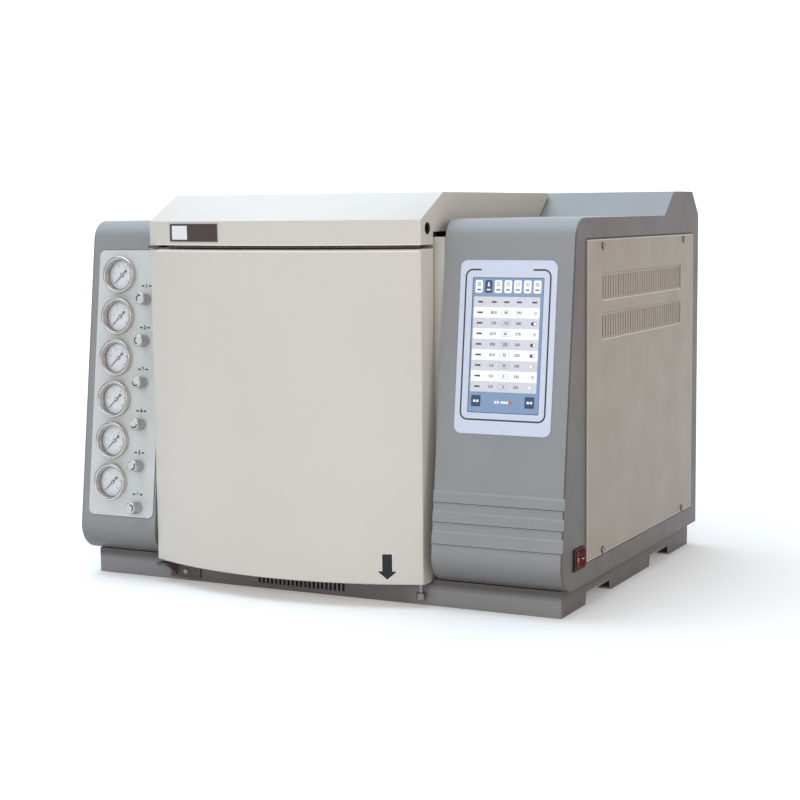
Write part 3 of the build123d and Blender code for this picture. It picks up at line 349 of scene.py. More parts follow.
def slot_materials():
    """One material for each slot of the record."""
    return {
        "case_grey": case_paint(),
        # The side grey and the cover's beige hold painted shade of the right side.
        "side_grey": powder_coat("side_paint", SHADED_SIDE_GREY),
        "plinth_grey": plinth_paint(),
        "cover_paint": powder_coat("cover_paint", SHADED_COVER_BEIGE),
        "warm_white_metal": powder_coat("oven_frame_paint", (0.56, 0.53, 0.48)),
        "panel_pale": powder_coat("gauge_panel_paint", (0.60, 0.618, 0.612), 0.35, 0.08),
        "cover_beige": moulded("door_plastic", BEIGE),
        "black_plastic": Surface("black_plastic", (0.016, 0.014, 0.013), 0.5, Specular_IOR_Level=0.22)
        .grained(1700, 0.2, 0.00008)
        .material,
        "overlay_lavender": moulded("overlay_film", (0.625, 0.668, 0.79), 0.3, 0.05),
        "red_plastic": Surface("rocker_plastic", (0.095, 0.005, 0.004), 0.5, Specular_IOR_Level=0.15)
        .mottled(60, 0.06)
        .material,
        "dial_white": moulded("dial_card", (0.84, 0.86, 0.90), 0.6, 0.03),
        "needle_black": powder_coat("needle_paint", (0.02, 0.02, 0.022), 0.5, 0.02),
        "chrome": Surface("polished_bezel", (0.62, 0.58, 0.555), 0.28, Metallic=1.0).worn(50, 0.04).material,
        "knob_steel": steel("turned_steel", (0.48, 0.455, 0.43), 0.3, (300, 300, 2500), 0.15),
        "screw_steel": steel("screw_steel", (0.30, 0.27, 0.25), 0.28, (900, 900, 200), 0.2),
        "stainless": steel("stainless_sheet", (0.6, 0.6, 0.59), 0.3, (20, 900, 900)),
        "zinc_box": steel("zinc_plate", (0.62, 0.64, 0.66), 0.45, (120, 120, 120), 0.1),
        "brass": steel("turned_brass", (0.72, 0.52, 0.22), 0.28, (600, 2000, 600), 0.15),
        "motor_casting": Surface("cast_motor", (0.12, 0.12, 0.13), 0.6, Metallic=0.4)
        .grained(420, 0.7)
        .material,
        "heater_sheath": heated_sheath("heater_sheath"),
        "column_amber": wound_column("wound_capillary"),
        "mineral_wool": wool_slab("mineral_wool"),
        "rope_seal": woven_rope("woven_rope"),
        "board_green": board_laminate("board_laminate"),
        "screen_glass": Surface("screen_glass", (0.02, 0.03, 0.05), 0.12, Coat_Weight=1.0)
        .worn(20, 0.04)
        .material,
        "clear_glass": clear("gauge_window", (0.96, 0.98, 0.98)),
    }


# ---- Making pieces ---------------------------------------------------------------
class Print:
    """Flat shapes in local millimetres, gathered into one thin piece."""

    def __init__(self):
        self.points, self.faces, self.inks, self.materials = [], [], [], []

    def shape(self, outline, material, height=0.0):
        first = len(self.points)
        self.points += [(x, y, height) for x, y in outline]
        self.faces.append(tuple(range(first, len(self.points))))
        self.inks.append(self.ink_index(material))

    def ink_index(self, material):
        if material not in self.materials:
            self.materials.append(material)
        return self.materials.index(material)

    def band(self, inner, outer, material, height=0.0, closed=True):
        """The strip between two outlines of equal count."""
        first, count = len(self.points), len(inner)
        self.points += [(x, y, height) for x, y in (*inner, *outer)]
        for i in range(count if closed else count - 1):
            j = (i + 1) % count
            self.faces.append((first + i, first + j, first + count + j, first + count + i))
            self.inks.append(self.ink_index(material))

    def tube(self, radius, low, high, material, count=48):
        """A wall round the middle, between two heights."""
        first = len(self.points)
        self.points += [(*at, z) for z in (low, high) for at in disc_outline(radius, count=count)]
        for i in range(count):
            j = (i + 1) % count
            self.faces.append((first + i, first + j, first + count + j, first + count + i))
            self.inks.append(self.ink_index(material))

    def glyphs(self, text, size, at, material, height=0.0, bold=0.0):
        """Plain numbers and signs, centred on a point."""
        curve = bpy.data.curves.new("glyphs", "FONT")
        curve.body, curve.size, curve.offset = text, size, bold
        curve.align_x, curve.align_y = "CENTER", "CENTER"
        holder = bpy.data.objects.new("glyphs", curve)
        bpy.context.scene.collection.objects.link(holder)
        mesh = bpy.data.meshes.new_from_object(holder.evaluated_get(bpy.context.evaluated_depsgraph_get()))
        first = len(self.points)
        self.points += [(v.co.x + at[0], v.co.y + at[1], height) for v in mesh.vertices]
        for polygon in mesh.polygons:
            self.faces.append(tuple(first + i for i in polygon.vertices))
            self.inks.append(self.ink_index(material))
        bpy.data.objects.remove(holder)
        bpy.data.curves.remove(curve)
        bpy.data.meshes.remove(mesh)

    def made(self, name, place, body, slot):
        mesh = bpy.data.meshes.new(name)
        mesh.from_pydata([place @ Vector(point) for point in self.points], [], self.faces)
        for material in self.materials:
            mesh.materials.append(material)
        mesh.polygons.foreach_set("material_index", self.inks)
        piece = bpy.data.objects.new(name, mesh)
        bpy.context.scene.collection.objects.link(piece)
        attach(piece, body)


def box_outline(x, y, corner=0.0, steps=6):
    """A rectangle between two (low, high) pairs, with rounded corners."""
    if not corner:
        return [(x[0], y[0]), (x[1], y[0]), (x[1], y[1]), (x[0], y[1])]
    centres = ((x[1] - corner, y[1] - corner), (x[0] + corner, y[1] - corner))
    centres += ((x[0] + corner, y[0] + corner), (x[1] - corner, y[0] + corner))
    outline = []
    for quarter, (cx, cy) in enumerate(centres):
        for i in range(steps + 1):
            angle = (quarter + i / steps) * pi / 2
            outline.append((cx + corner * cos(angle), cy + corner * sin(angle)))
    return outline


def disc_outline(radius, at=(0, 0), count=24):
    angles = [2 * pi * i / count for i in range(count)]
    return [(at[0] + radius * cos(angle), at[1] + radius * sin(angle)) for angle in angles]


def arc_outlines(radii, angles):
    """Two outlines along one arc, inner and outer."""
    return [[(r * cos(angle), r * sin(angle)) for angle in angles] for r in radii]


def turned(outline, angle, at=(0, 0)):
    """An outline turned about its origin, then moved."""
    rows = ((cos(angle), -sin(angle), at[0]), (sin(angle), cos(angle), at[1]))
    return [tuple(u * row[0] + v * row[1] + row[2] for row in rows) for u, v in outline]


def grown(pair, by):
    return (pair[0] - by, pair[1] + by)


def about(centre, half):
    return (centre - half, centre + half)


def spread(pair, steps):
    """Evenly spaced places from one end of a pair to the other."""
    return [pair[0] + (pair[1] - pair[0]) * i / steps for i in range(steps + 1)]


# ---- Gauges ----------------------------------------------------------------------
def gauge_prints(inks):
    """Scale of each dial: arc, ticks, plain numbers and a rim, inside the case's wall, which is painted dark
    as its shade.
    """
    for number, z in enumerate(gauge_heights(), start=1):
        scale = Print()
        arc = [radians(DIAL_START - DIAL_SWEEP * i / 60) for i in range(61)]
        scale.band(*arc_outlines(ARC_R, arc), inks["black"], closed=False)
        for i in range(DIAL_TICKS + 1):
            angle, long = radians(DIAL_START - DIAL_SWEEP * i / DIAL_TICKS), i % 10 == 0
            low, half = (TICK_LONG, 0.28) if long else (TICK_MIDDLE if i % 5 == 0 else TICK_SHORT, 0.12)
            scale.shape(turned(box_outline((low, TICK_OUT), about(0, half)), angle), inks["black"])
            if long:
                spot = (FIGURE_R * cos(angle), FIGURE_R * sin(angle))
                scale.glyphs(f"{i // 10 * 2}", 3.6, spot, inks["black"])
        scale.band(disc_outline(RIM_R[0]), disc_outline(RIM_R[1]), inks["grey"])
        # The wall round each dial is painted dark: painted shade inside the case.
        scale.tube(GAUGE_WALL_R, 0.0, LENS_LOW - DIAL_TOP - 0.2, inks["gauge_wall_shade"])
        place = on_face(GAUGE_X, z, DIAL_TOP + INK_LIFT)
        scale.made(f"dial_scale_{number}", place, "chassis", "dial_white")


def knob_labels(inks):
    """A plain number above each regulator, with a short line either side."""
    labels = Print()
    for number, z in enumerate(gauge_heights(), start=1):
        up = (z - KNOB_DROP + LABEL_RISE - GAUGE_TOP_Z) / cos(FACE_TILT)
        labels.glyphs(f"{number}", 7.0, (0, up), inks["black"], bold=0.25)
        for side in (-1, 1):
            labels.shape(box_outline(about(side * 5.4, 2.0), about(up, 0.9)), inks["black"])
    place = on_face(KNOB_X - 1.4, GAUGE_TOP_Z, PANEL_FACE + INK_LIFT)
    labels.made("regulator_numbers", place, "chassis", "panel_pale")


def knob_caps(inks):
    """Turning marks on the polished end of each knob."""
    for number, z in enumerate(gauge_heights(), start=1):
        marks = Print()
        start = radians(35 + 47 * number)
        marks.shape(disc_outline(CAP_R, count=36), inks["knob_cap"])
        sweep = [start + radians(CAP_SWEEP) * i / 14 for i in range(15)]
        marks.band(*arc_outlines(CAP_ARC_R, sweep), inks["black"], 0.03, closed=False)
        for end in (sweep[0], sweep[-1]):
            tip = (CAP_HEAD_R * cos(end), CAP_HEAD_R * sin(end))
            marks.shape(disc_outline(1.3, tip, 3), inks["black"], 0.03)
        place = on_face(KNOB_X, z - KNOB_DROP, KNOB_FRONT + FINE_LIFT)
        marks.made(f"knob_marks_{number}", place, f"regulator_knob_{number}", "knob_steel")


def needle_hubs(inks):
    """Bright rivet in the middle of each pointer."""
    for number, z in enumerate(gauge_heights(), start=1):
        rivet = Print()
        rivet.shape(disc_outline(HUB_R), inks["knob_cap"])
        place = on_face(GAUGE_X, z, HUB_TOP + FINE_LIFT)
        rivet.made(f"needle_rivet_{number}", place, f"gauge_needle_{number}", "needle_black")


def band_shadows(inks):
    """Painted shadow line under each raised band below the display."""
    for number, low in enumerate(BANDS_LOW_Z, start=1):
        seam = Print()
        seam.shape(box_outline(about(0, (BAND_X[1] - BAND_X[0]) / 2), (-1.0, -0.1)), inks["band_shadow"])
        place = on_face(sum(BAND_X) / 2, low, SEAM_LIFT)
        seam.made(f"band_shadow_{number}", place, "chassis", "case_grey")


def panel_edge(inks):
    """Thin line of painted shade where the gauge panel's edge meets the fascia."""
    height = (PANEL_Z[1] - PANEL_Z[0]) / cos(FACE_TILT)
    x, y = about(0, (PANEL_X[1] - PANEL_X[0]) / 2), about(0, height / 2)
    width, edge = 0.7, Print()
    outer = box_outline(grown(x, width), grown(y, width), PANEL_CORNER + width)
    edge.band(box_outline(x, y, PANEL_CORNER), outer, inks["gap"])
    place = on_face(sum(PANEL_X) / 2, sum(PANEL_Z) / 2, SEAM_LIFT)
    edge.made("panel_edge_line", place, "chassis", "panel_pale")


# ---- Display ---------------------------------------------------------------------
def ring_print(inks):
    """Ring round the display, open at the middle of its top."""
    height = (RING_Z[1] - RING_Z[0]) / cos(FACE_TILT)
    x, y = about(0, (RING_X[1] - RING_X[0]) / 2), about(0, height / 2)
    centre = sum(RING_X) / 2
    gap = [edge - centre for edge in RING_GAP_X]
    outlines = []
    for by in (0, RING_WIDTH):
        around = box_outline(grown(x, -by), grown(y, -by), RING_CORNER - by)
        turn = len(around) // 4
        top = y[1] - by
        outlines.append([(gap[0], top), *around[turn:], *around[:turn], (gap[1], top)])
    ring = Print()
    ring.band(*outlines, inks["ring"], closed=False)
    place = on_face(centre, sum(RING_Z) / 2, RING_FACE + FINE_LIFT)
    ring.made("overlay_ring", place, "chassis", "overlay_lavender")


def screen_icon(screen, kind, at, sign):
    """One plain sign of a menu button."""
    x, y = at
    if kind == 0:
        for row in (-1.5, 0, 1.5):
            screen.shape(box_outline(about(x, 2.1), about(y + row, 0.45)), sign, SIGN)
    elif kind == 1:
        screen.shape(disc_outline(1.4, (x, y - 1.3), 16), sign, SIGN)
        screen.shape(box_outline(about(x, 0.65), (y - 1.3, y + 2.4)), sign, SIGN)
    elif kind in (2, 3):
        frames = [box_outline(about(x, half), about(y, half)) for half in (2.1, 1.5)]
        screen.band(*frames, sign, SIGN)
        screen.shape(box_outline(about(x, 0.9), about(y + 0.5 * (kind - 2), 0.4)), sign, SIGN)
    else:
        screen.band(disc_outline(2.3, at, 18), disc_outline(1.7, at, 18), sign, SIGN)
        screen.shape(box_outline(about(x, 0.25 * (kind - 3)), (y - 1.1, y + 0.9)), sign, SIGN)


def screen_print(inks):
    """What the display shows: a menu row, a table of readings with switches, a status bar."""
    width, height = SCREEN_X[1] - SCREEN_X[0], (SCREEN_Z[1] - SCREEN_Z[0]) / cos(FACE_TILT)
    screen = Print()
    half_w, top, bottom = width / 2, height / 2, -height / 2
    # Dark rim round the display: painted shadow at the edge of its window.
    screen.shape(box_outline(about(0, half_w), (bottom, top)), inks["screen_edge_shadow"])
    screen.shape(box_outline(about(0, half_w - 0.7), (bottom + 0.7, top - 0.7)), inks["screen_blue"], FIELD)
    pitch = (width - 4.0) / 7
    for i in range(7):
        x = -half_w + 2.0 + (i + 0.5) * pitch
        chosen = i == 1
        button = box_outline(about(x, 4.5), (top - 17.4, top - 3.0), 1.8)
        screen.shape(button, inks["screen_navy" if chosen else "screen_white"], CELL)
        screen_icon(screen, i, (x, top - 7.6), inks["screen_white" if chosen else "screen_brown"])
        caption = inks["screen_white" if chosen else "screen_text"]
        screen.shape(box_outline(about(x, 2.4), about(top - 13.8, 0.75)), caption, TEXT)
    table_x, table_top, row = (-half_w + 2.4, half_w - 4.0), top - 21.6, TABLE_ROW
    columns = [table_x[0] + share * (table_x[1] - table_x[0]) for share in (0.10, 0.31, 0.50, 0.69, 0.92)]
    for i in range(9):
        low = table_top - (i + 1) * row
        shade = inks["screen_white" if i % 2 else "screen_grey"]
        screen.shape(box_outline(table_x, (low, low + row)), shade, CELL)
        middle = low + row / 2
        if i == 0:
            for x in columns:
                screen.shape(box_outline(about(x, 3.0), about(middle, 1.0)), inks["screen_text"], TEXT)
            continue
        actual, wanted = READINGS[i - 1]
        screen.shape(box_outline(about(columns[0], 3.4), about(middle, 0.95)), inks["screen_text"], TEXT)
        pill_x, pill_z = about(columns[2], 6.2), about(middle, 2.9)
        pill = [box_outline(grown(pill_x, -by), grown(pill_z, -by), 2.8 - by) for by in (0, 0.35)]
        screen.band(*pill, inks["screen_line"], TEXT)
        for x, text in ((columns[1], actual), (columns[2], wanted), (columns[3], f"{300 - 10 * i}")):
            screen.glyphs(text, 4.3, (x, middle), inks["screen_text"], TEXT, bold=0.09)
        on = SWITCHED[i - 1]
        toggle = box_outline(about(columns[4], 3.4), about(middle, 1.9), 1.85)
        screen.shape(toggle, inks["screen_navy" if on else "screen_tan"], TEXT)
        knob_x = columns[4] + (1.5 if on else -1.5)
        screen.shape(disc_outline(1.6, (knob_x, middle), 18), inks["screen_white"], DOT)
    for side, edge in ((1, table_x[0] + 1.8), (-1, table_x[1] - 1.8)):
        button = sorted((edge, edge + side * 11.5))
        screen.shape(box_outline(button, (top - 145.5, top - 132.7), 0.8), inks["screen_navy"], CELL)
        for dot in (-1.9, 1.9):
            sign = box_outline(about(sum(button) / 2 + dot, 1.4), about(top - 139.2, 1.3))
            screen.shape(sign, inks["screen_white"], TEXT)
    for x in (-9.6, -6.4, -1.6, 1.6, 4.8):
        screen.shape(box_outline(about(x, 1.25), about(top - 140.0, 1.3)), inks["screen_white"], TEXT)
    screen.shape(disc_outline(2.0, (8.8, top - 140.0), 20), inks["screen_red"], TEXT)
    place = on_face(sum(SCREEN_X) / 2, sum(SCREEN_Z) / 2, SCREEN_FACE + INK_LIFT)
    screen.made("screen_image", place, "chassis", "screen_glass")


# ---- Door and lid ----------------------------------------------------------------
def bowed(flat, name, body):
    """Wraps a flat print, with points as (x, z, lift), on the bowed front."""
    flat.points = [(x, bow_y(x) - lift, z) for x, z, lift in flat.points]
    flat.made(name, Matrix.Scale(MM, 4), body, "cover_beige")


def edge_line(name, z, x, material, body):
    """Thin line along the bowed front: a painted highlight on an edge."""
    line, along = Print(), spread(x, EDGE_STEPS)
    line.band([(at, z[0]) for at in along], [(at, z[1]) for at in along], material, FINE_LIFT, closed=False)
    bowed(line, name, body)


def edge_highlights(inks):
    """Painted highlights on the top edge of the door and the bottom edge of the lid's lip."""
    door_z, lip_z = (DOOR_TOP_Z - 3.0, DOOR_TOP_Z - 2.1), (LIP_Z + 0.1, LIP_Z + 0.9)
    edge_line("door_top_edge", door_z, grown(DOOR_X, -2.0), inks["edge_highlight"], "door")
    edge_line("lip_bottom_edge", lip_z, grown(DOOR_X, -0.3), inks["edge_highlight"], "lid")


def lid_seal():
    """Foam strip under the lid's lip, above the door."""
    foam = Surface("seal_foam", (0.085, 0.060, 0.048), 0.95, Specular_IOR_Level=0.15)
    strip = Print()
    for i, at in enumerate(spread(SEAL_X, SEAL_STEPS)):
        front, low = bow_y(at) + SEAL_BACK, SEAL_LOW_Z + SEAL_SAG * (i % 3 == 1)
        back = front + SEAL_THICK
        strip.points += [(at, front, low), (at, front + 0.3, LIP_Z), (at, back, LIP_Z), (at, back, low)]
    foam_ink = strip.ink_index(foam.mottled(300, 0.3).grained(900, 0.8, 0.0006).material)
    for i in range(SEAL_STEPS):
        for k in range(4):
            a, b = 4 * i + k, 4 * i + (k + 1) % 4
            strip.faces.append((a, b, b + 4, a + 4))
            strip.inks.append(foam_ink)
    strip.made("lid_seal", Matrix.Scale(MM, 4), "lid", "rope_seal")


def arrow_outline(by):
    """Arrow that points down at the latch, grown on every side."""
    head, shaft = ARROW_HEAD / 2 + 1.6 * by, ARROW_SHAFT / 2 + by
    neck, tip, top = ARROW_NECK_Z + by, ARROW_TIP_Z - 1.4 * by, ARROW_TOP_Z + by
    right = [(head, neck), (shaft, neck), (shaft, top)]
    points = [(0, tip), *right, *((-x, z) for x, z in reversed(right))]
    return [(ARROW_X + x, z) for x, z in points]


def door_arrow(inks):
    """Dark arrow with a pale rim, clear of the flats between the bow's steps."""
    arrow = Print()
    arrow.shape(arrow_outline(0.9), inks["pale"], 0.26)
    arrow.shape(arrow_outline(0), inks["black"], 0.34)
    bowed(arrow, "latch_arrow", "door")


def plate(name, x, z, thick, steps, material, lift=0.0):
    """A thin plate on the bowed lip with rolled edges, following its curve."""
    points, faces = [], []
    for i, at in enumerate(spread(x, steps)):
        for level, inset in ((lift, 0), (lift + thick - 0.3, 0), (lift + thick, 0.3)):
            for side in (0, 1):
                edge = z[side] + (inset if side == 0 else -inset)
                shift = inset if i == 0 else (-inset if i == steps else 0)
                points.append((at + shift, bow_y(at + shift) - level, edge))
    for i in range(steps):
        a, b = 6 * i, 6 * (i + 1)
        faces += [(a, b, b + 2, a + 2), (a + 2, b + 2, b + 4, a + 4), (a + 4, b + 4, b + 5, a + 5)]
        faces += [(a + 5, b + 5, b + 3, a + 3), (a + 3, b + 3, b + 1, a + 1)]
    for end in (0, 6 * steps):
        faces.append((end, end + 2, end + 4, end + 5, end + 3, end + 1))
    mesh = bpy.data.meshes.new(name)
    mesh.from_pydata([metres(point) for point in points], [], faces)
    mesh.materials.append(material)
    piece = bpy.data.objects.new(name, mesh)
    bpy.context.scene.collection.objects.link(piece)
    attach(piece, "lid")


def badge(inks):
    """Bare dark badge with a pale rim and a pale blank square at its left."""
    plate("badge_rim", BADGE_X, BADGE_Z, 0.5, 12, inks["badge_rim"])
    plate("badge_plate", grown(BADGE_X, -1.0), grown(BADGE_Z, -1.0), 0.5, 12, inks["badge"], 0.3)
    plate("badge_square", BADGE_SQUARE_X, BADGE_SQUARE_Z, 0.4, 6, inks["pale"], 0.55)


def grommet(materials):
    """Rubber grommet in the hole of the lid's right end."""
    radii = {"major_radius": (GROMMET_R - 0.9) * MM, "minor_radius": 1.5 * MM}
    bpy.ops.mesh.primitive_torus_add(major_segments=40, minor_segments=14, **radii)
    ring = bpy.context.object
    ring.name = ring.data.name = "lid_grommet"
    turn = Matrix.Rotation(pi / 2, 4, "Y") @ Matrix.Diagonal((1, 1, 1.25, 1))
    ring.data.transform(Matrix.Translation(metres((DOOR_X[1] - 1.6, GROMMET_Y, GROMMET_Z))) @ turn)
    ring.data.shade_smooth()
    ring.data.materials.append(materials["black_plastic"])
    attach(ring, "lid")


# ---- Side cover and plinth -------------------------------------------------------
def on_side(x):
    """From local (along the side, up, outwards) millimetres to world metres."""
    return Matrix.Scale(MM, 4) @ Matrix(((0, 0, 1, x), (1, 0, 0, 0), (0, 1, 0, 0), (0, 0, 0, 1)))


def cover_edges(inks):
    """Painted shadow in the gap round the side cover, and a painted highlight on its rolled edge."""
    gap, across = Print(), grown(COVER_Y, 0.15)
    outer = box_outline(across, (COVER_Z[0] - 1.9, COVER_Z[1] + 1.8))
    gap.band(box_outline(across, COVER_Z), outer, inks["seam"])
    gap.made("cover_gap_shadow", on_side(CASE_HALF + SEAM_LIFT), "chassis", "side_grey")
    edge = Print()
    y, z = grown(COVER_Y, -0.55), grown(COVER_Z, -0.55)
    edge.band(box_outline(grown(y, -0.9), grown(z, -0.6)), box_outline(y, z), inks["cover_highlight"])
    edge.made("cover_rim_highlight", on_side(COVER_FACE + INK_LIFT), "chassis", "cover_paint")


def louvre_rims(inks):
    """Lit and shaded rims of each field of louvres."""
    for number, field in enumerate(LOUVRES_Z, start=1):
        rim, (near, far), (low, high) = Print(), LOUVRE_Y, grown(field, 0.3)
        rim.shape(box_outline(LOUVRE_Y, (low - 0.9, low)), inks["cover_highlight"])
        rim.shape(box_outline((far, far + 1.2), (low, high)), inks["cover_highlight"])
        rim.shape(box_outline(LOUVRE_Y, (high, high + 0.7)), inks["cover_shade"])
        rim.shape(box_outline((near - 0.8, near), (low, high)), inks["cover_shade"])
        rim.made(f"louvre_rim_{number}", on_side(COVER_FACE + INK_LIFT), "chassis", "cover_paint")


def cover_screws(inks):
    """Crossed slots on the cover's screws, painted black as the shade in their recesses, and a painted shadow
    round each head.
    """
    for number, at in enumerate(COVER_SCREWS, start=1):
        cross, slot = Print(), box_outline(about(0, 2.2), about(0, 0.45))
        for turn in (0.6, 0.6 + pi / 2):
            cross.shape(turned(slot, turn, at), inks["black"], 0.01 * turn)
        cross.made(f"screw_cross_{number}", on_side(SCREW_TOP + INK_LIFT), "chassis", "screw_steel")
        # Painted shadow ring, moved down under each head like a cast shadow.
        shadow_ring, low = Print(), (at[0], at[1] - 0.7)
        shadow_ring.band(disc_outline(SCREW_R - 0.3, low, 28), disc_outline(SCREW_R + 1.0, low, 28), inks["seam"])
        shadow_ring.made(f"screw_shadow_ring_{number}", on_side(COVER_FACE + SHADOW_RING_LIFT), "chassis", "cover_paint")


def vent_gauze(inks):
    """Dark gauze behind the slots of the plinth's front wall."""
    gauze = Print()
    columns, rows = 62, 9
    for i, x in enumerate(spread(VENT_X, columns)):
        for j, z in enumerate(spread(VENT_Z, rows)):
            weave = 0.25 if (i + j) % 2 else -0.25
            gauze.points.append((x, PLINTH_FRONT + PLINTH_SHEET + 0.6 + weave, z))
    for i in range(columns):
        for j in range(rows):
            a = i * (rows + 1) + j
            gauze.faces.append((a, a + rows + 1, a + rows + 2, a + 1))
            gauze.inks.append(gauze.ink_index(inks["black"]))
    gauze.made("vent_gauze", Matrix.Scale(MM, 4), "chassis", "black_plastic")


# ---- Power switch ----------------------------------------------------------------
def rocker_marks(inks):
    """The circle and the line on the two faces of the rocker."""
    rest = Matrix.Rotation(radians(-ROCKER_TILT), 4, "Z")
    dish_slope = atan((ROCKER_END - ROCKER_DISH) / ROCKER_HALF)
    mark_out = ROCKER_DISH + ROCKER_MARK * (ROCKER_END - ROCKER_DISH) / ROCKER_HALF
    for name, side in (("rocker_off_mark", -1), ("rocker_on_mark", 1)):
        mark = Print()
        if side < 0:
            mark.band(disc_outline(2.1), disc_outline(1.5), inks["pale"])
        else:
            mark.shape(box_outline(about(0, 2.0), about(0, 0.35)), inks["pale"])
        out = Vector((cos(dish_slope), -side * sin(dish_slope), 0))
        along = Vector((side * sin(dish_slope), cos(dish_slope), 0))
        middle = Vector((mark_out, side * ROCKER_MARK, 0)) + SEAM_LIFT * out
        local = Matrix((
            (along.x, 0, out.x, middle.x),
            (along.y, 0, out.y, middle.y),
            (0, 1, 0, middle.z),
            (0, 0, 0, 1),
        ))
        place = Matrix.Scale(MM, 4) @ Matrix.Translation(ROCKER_PIVOT) @ rest @ local
        mark.made(name, place, "power_rocker", "red_plastic")


# ---- Studio ----------------------------------------------------------------------
def sweep_backdrop():
    """Pale floor that turns up into a wall far behind."""
    profile = [(y, 0.0) for y in FLOOR_Y]
    turns = [radians(6 * i) for i in range(1, 16)]
    profile += [(FLOOR_Y[1] + BEND * sin(turn), BEND - BEND * cos(turn)) for turn in turns]
    profile.append((FLOOR_Y[1] + BEND, WALL_TOP))
    points = [(x, y, z) for y, z in profile for x in (-FLOOR_HALF, FLOOR_HALF)]
    faces = [(2 * i, 2 * i + 1, 2 * i + 3, 2 * i + 2) for i in range(len(profile) - 1)]
    mesh = bpy.data.meshes.new("studio_floor")
    mesh.from_pydata(points, [], faces)
    mesh.shade_smooth()
    card = Surface("studio_card", (0.93, 0.93, 0.93), 0.9, Specular_IOR_Level=0.1)
    card.shader.inputs["Emission Color"].default_value = (1, 1, 1, 1)
    card.shader.inputs["Emission Strength"].default_value = 0.16
    mesh.materials.append(card.mottled(2, 0.004).material)
    floor = bpy.data.objects.new("studio_floor", mesh)
    bpy.context.scene.collection.objects.link(floor)


def soft_light(name, at, target, size, power, color):
    """A rectangular lamp that faces a target, in metres and watts."""
    light = bpy.data.lights.new(name, "AREA")
    light.shape, light.size, light.size_y = "RECTANGLE", *size
    light.energy, light.color = power, color
    lamp = bpy.data.objects.new(name, light)
    lamp.location = at
    lamp.rotation_euler = (Vector(target) - Vector(at)).to_track_quat("-Z", "Y").to_euler()
    bpy.context.scene.collection.objects.link(lamp)


def studio():
    world = bpy.data.worlds.new("studio")
    world.use_nodes = True
    background = world.node_tree.nodes["Background"]
    background.inputs["Color"].default_value = (1.0, 0.965, 0.94, 1)
    background.inputs["Strength"].default_value = 0.33
    bpy.context.scene.world = world
    soft_light("overhead", (-0.6, -0.3, 2.5), (0, 0, 0.2), (2.6, 2.8), 63, (0.71, 0.855, 1.0))
    soft_light("sky_side", (-1.4, 1.5, 2.3), (0, 0, 0.4), (1.6, 1.2), 10, (0.74, 0.88, 1.0))
    soft_light("front", (0.1, -3.4, 1.5), (0, 0, 0.25), (2.8, 1.6), 20, (1.0, 0.975, 0.93))
    soft_light("right_fill", (1.9, -3.0, 1.2), (0.2, 0, 0.25), (1.2, 1.2), 12, (1.0, 0.94, 0.88))
    soft_light("right", (3.4, -0.6, 1.5), (0.2, 0, 0.25), (1.6, 1.6), 18, (1.0, 0.93, 0.86))
    soft_light("backdrop_wash", (-2.4, 2.2, 2.6), (-2.4, 5.2, 1.0), (9.0, 1.0), 150, (1, 1, 1))
    view = bpy.context.scene.view_settings
    view.view_transform, view.look = "Standard", "None"


def camera():
    yaw, pitch, roll = (radians(angle) for angle in (CAMERA_YAW, CAMERA_PITCH, CAMERA_ROLL))
    forward = Vector((-sin(yaw) * cos(pitch), cos(yaw) * cos(pitch), -sin(pitch)))
    right = Vector((cos(yaw), sin(yaw), 0))
    up = right.cross(forward)
    right, up = right * cos(roll) + up * sin(roll), up * cos(roll) - right * sin(roll)
    data = bpy.data.cameras.new("camera")
    data.lens, data.sensor_width = LENS, SENSOR
    view = bpy.data.objects.new("camera", data)
    aim = Matrix((right, up, -forward)).transposed().to_4x4()
    view.matrix_world = Matrix.Translation(metres(CAMERA_AT)) @ aim
    bpy.context.scene.collection.objects.link(view)
    bpy.context.scene.camera = view


# ---- Scene -----------------------------------------------------------------------
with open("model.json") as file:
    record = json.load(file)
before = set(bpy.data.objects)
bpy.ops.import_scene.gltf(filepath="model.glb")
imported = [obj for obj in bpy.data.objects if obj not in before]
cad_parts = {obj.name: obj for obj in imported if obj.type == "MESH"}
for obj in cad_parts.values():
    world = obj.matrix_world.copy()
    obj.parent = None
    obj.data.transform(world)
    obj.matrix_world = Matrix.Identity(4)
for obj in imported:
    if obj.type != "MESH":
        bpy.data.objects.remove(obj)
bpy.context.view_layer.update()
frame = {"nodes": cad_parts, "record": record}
materials = slot_materials()
for subpart in frame["record"]["subparts"]:
    node = frame["nodes"][subpart["node"]]
    node.data.materials.clear()
    node.data.materials.append(materials[subpart["material_slot"]])
# Pieces whose look differs from the rest of their slot
own_looks = {
    "left_side_panel": powder_coat("rear_paint", REAR_GREY),
    "rear_panel": powder_coat("rear_paint", REAR_GREY),
    "latch_button": steel("latch_steel", (0.32, 0.275, 0.24), 0.3, (300, 300, 2500), 0.2),
    # The hinge brackets' dark paint is painted shade from the door above.
    "door_hinge_brackets": powder_coat("bracket_paint", (0.10, 0.075, 0.066)),
}
for name, look in own_looks.items():
    frame["nodes"][name].material_slots[0].material = look

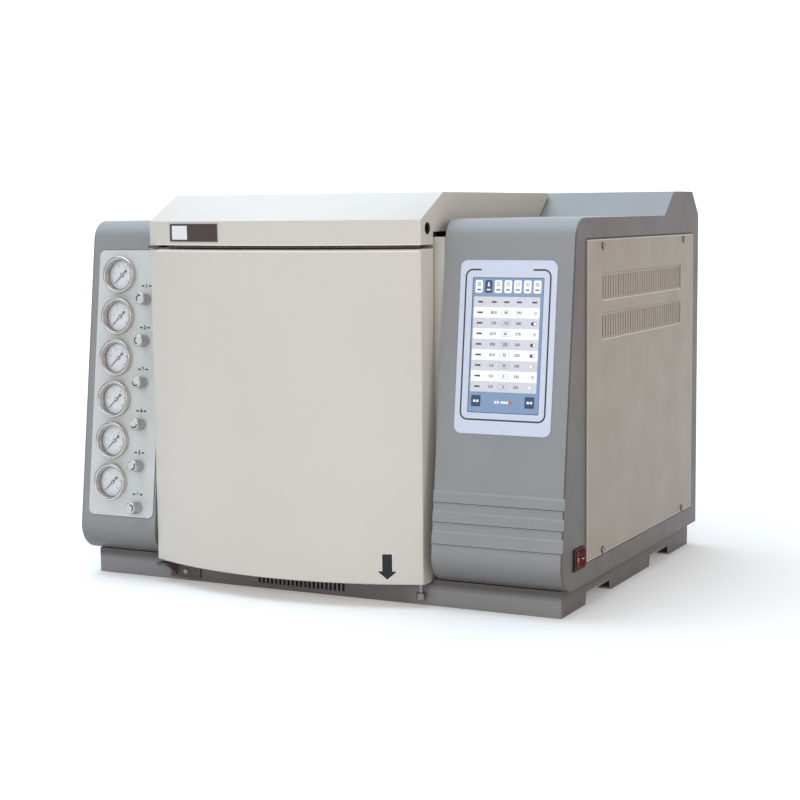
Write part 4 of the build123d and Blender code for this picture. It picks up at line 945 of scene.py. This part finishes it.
inks = {
    "black": ink("black_ink", (0.02, 0.02, 0.022)),
    "grey": ink("grey_ink", (0.3, 0.3, 0.31)),
    "pale": ink("pale_ink", (0.78, 0.78, 0.78)),
    "ring": ink("ring_ink", (0.06, 0.05, 0.06)),
    "edge_highlight": ink("edge_highlight", (0.93, 0.90, 0.85), 0.35),
    "cover_shade": ink("cover_shade", (0.20, 0.165, 0.135), 0.4),
    "cover_highlight": ink("cover_highlight", (0.66, 0.62, 0.56), 0.35),
    "gap": ink("gap_shade", (0.10, 0.085, 0.075)),
    "seam": ink("seam_shade", (0.022, 0.016, 0.014)),
    "band_shadow": ink("band_shadow", (0.10, 0.088, 0.085)),
    "gauge_wall_shade": ink("gauge_wall_shade", (0.07, 0.06, 0.056), 0.55),
    "knob_cap": ink("cap_finish", (0.60, 0.59, 0.585), 0.3),
    "badge": ink("badge_face", (0.075, 0.055, 0.055), 0.3),
    "badge_rim": ink("badge_rim", (0.45, 0.44, 0.43), 0.25),
    "screen_edge_shadow": ink("screen_edge_shadow", (0.05, 0.06, 0.09), 0.2),
    "screen_blue": ink("screen_blue", (0.22, 0.31, 0.47), 0.2, 0.12),
    "screen_navy": ink("screen_navy", (0.055, 0.085, 0.15), 0.2, 0.1),
    "screen_white": ink("screen_white", (0.84, 0.85, 0.87), 0.2, 0.2),
    "screen_grey": ink("screen_grey", (0.60, 0.60, 0.65), 0.2, 0.15),
    "screen_text": ink("screen_text", (0.08, 0.08, 0.10), 0.2),
    "screen_line": ink("screen_line", (0.35, 0.35, 0.40), 0.2),
    "screen_tan": ink("screen_tan", (0.62, 0.56, 0.52), 0.2, 0.1),
    "screen_brown": ink("screen_brown", (0.33, 0.24, 0.20), 0.2, 0.05),
    "screen_red": ink("screen_red", (0.65, 0.12, 0.06), 0.2, 0.15),
}
for dress in (gauge_prints, knob_labels, knob_caps, needle_hubs, panel_edge, band_shadows):
    dress(inks)
for dress in (ring_print, screen_print, cover_edges, louvre_rims, cover_screws, vent_gauze):
    dress(inks)
door_arrow(inks)
edge_highlights(inks)
lid_seal()
badge(inks)
grommet(materials)
rocker_marks(inks)

sweep_backdrop()
studio()
camera()
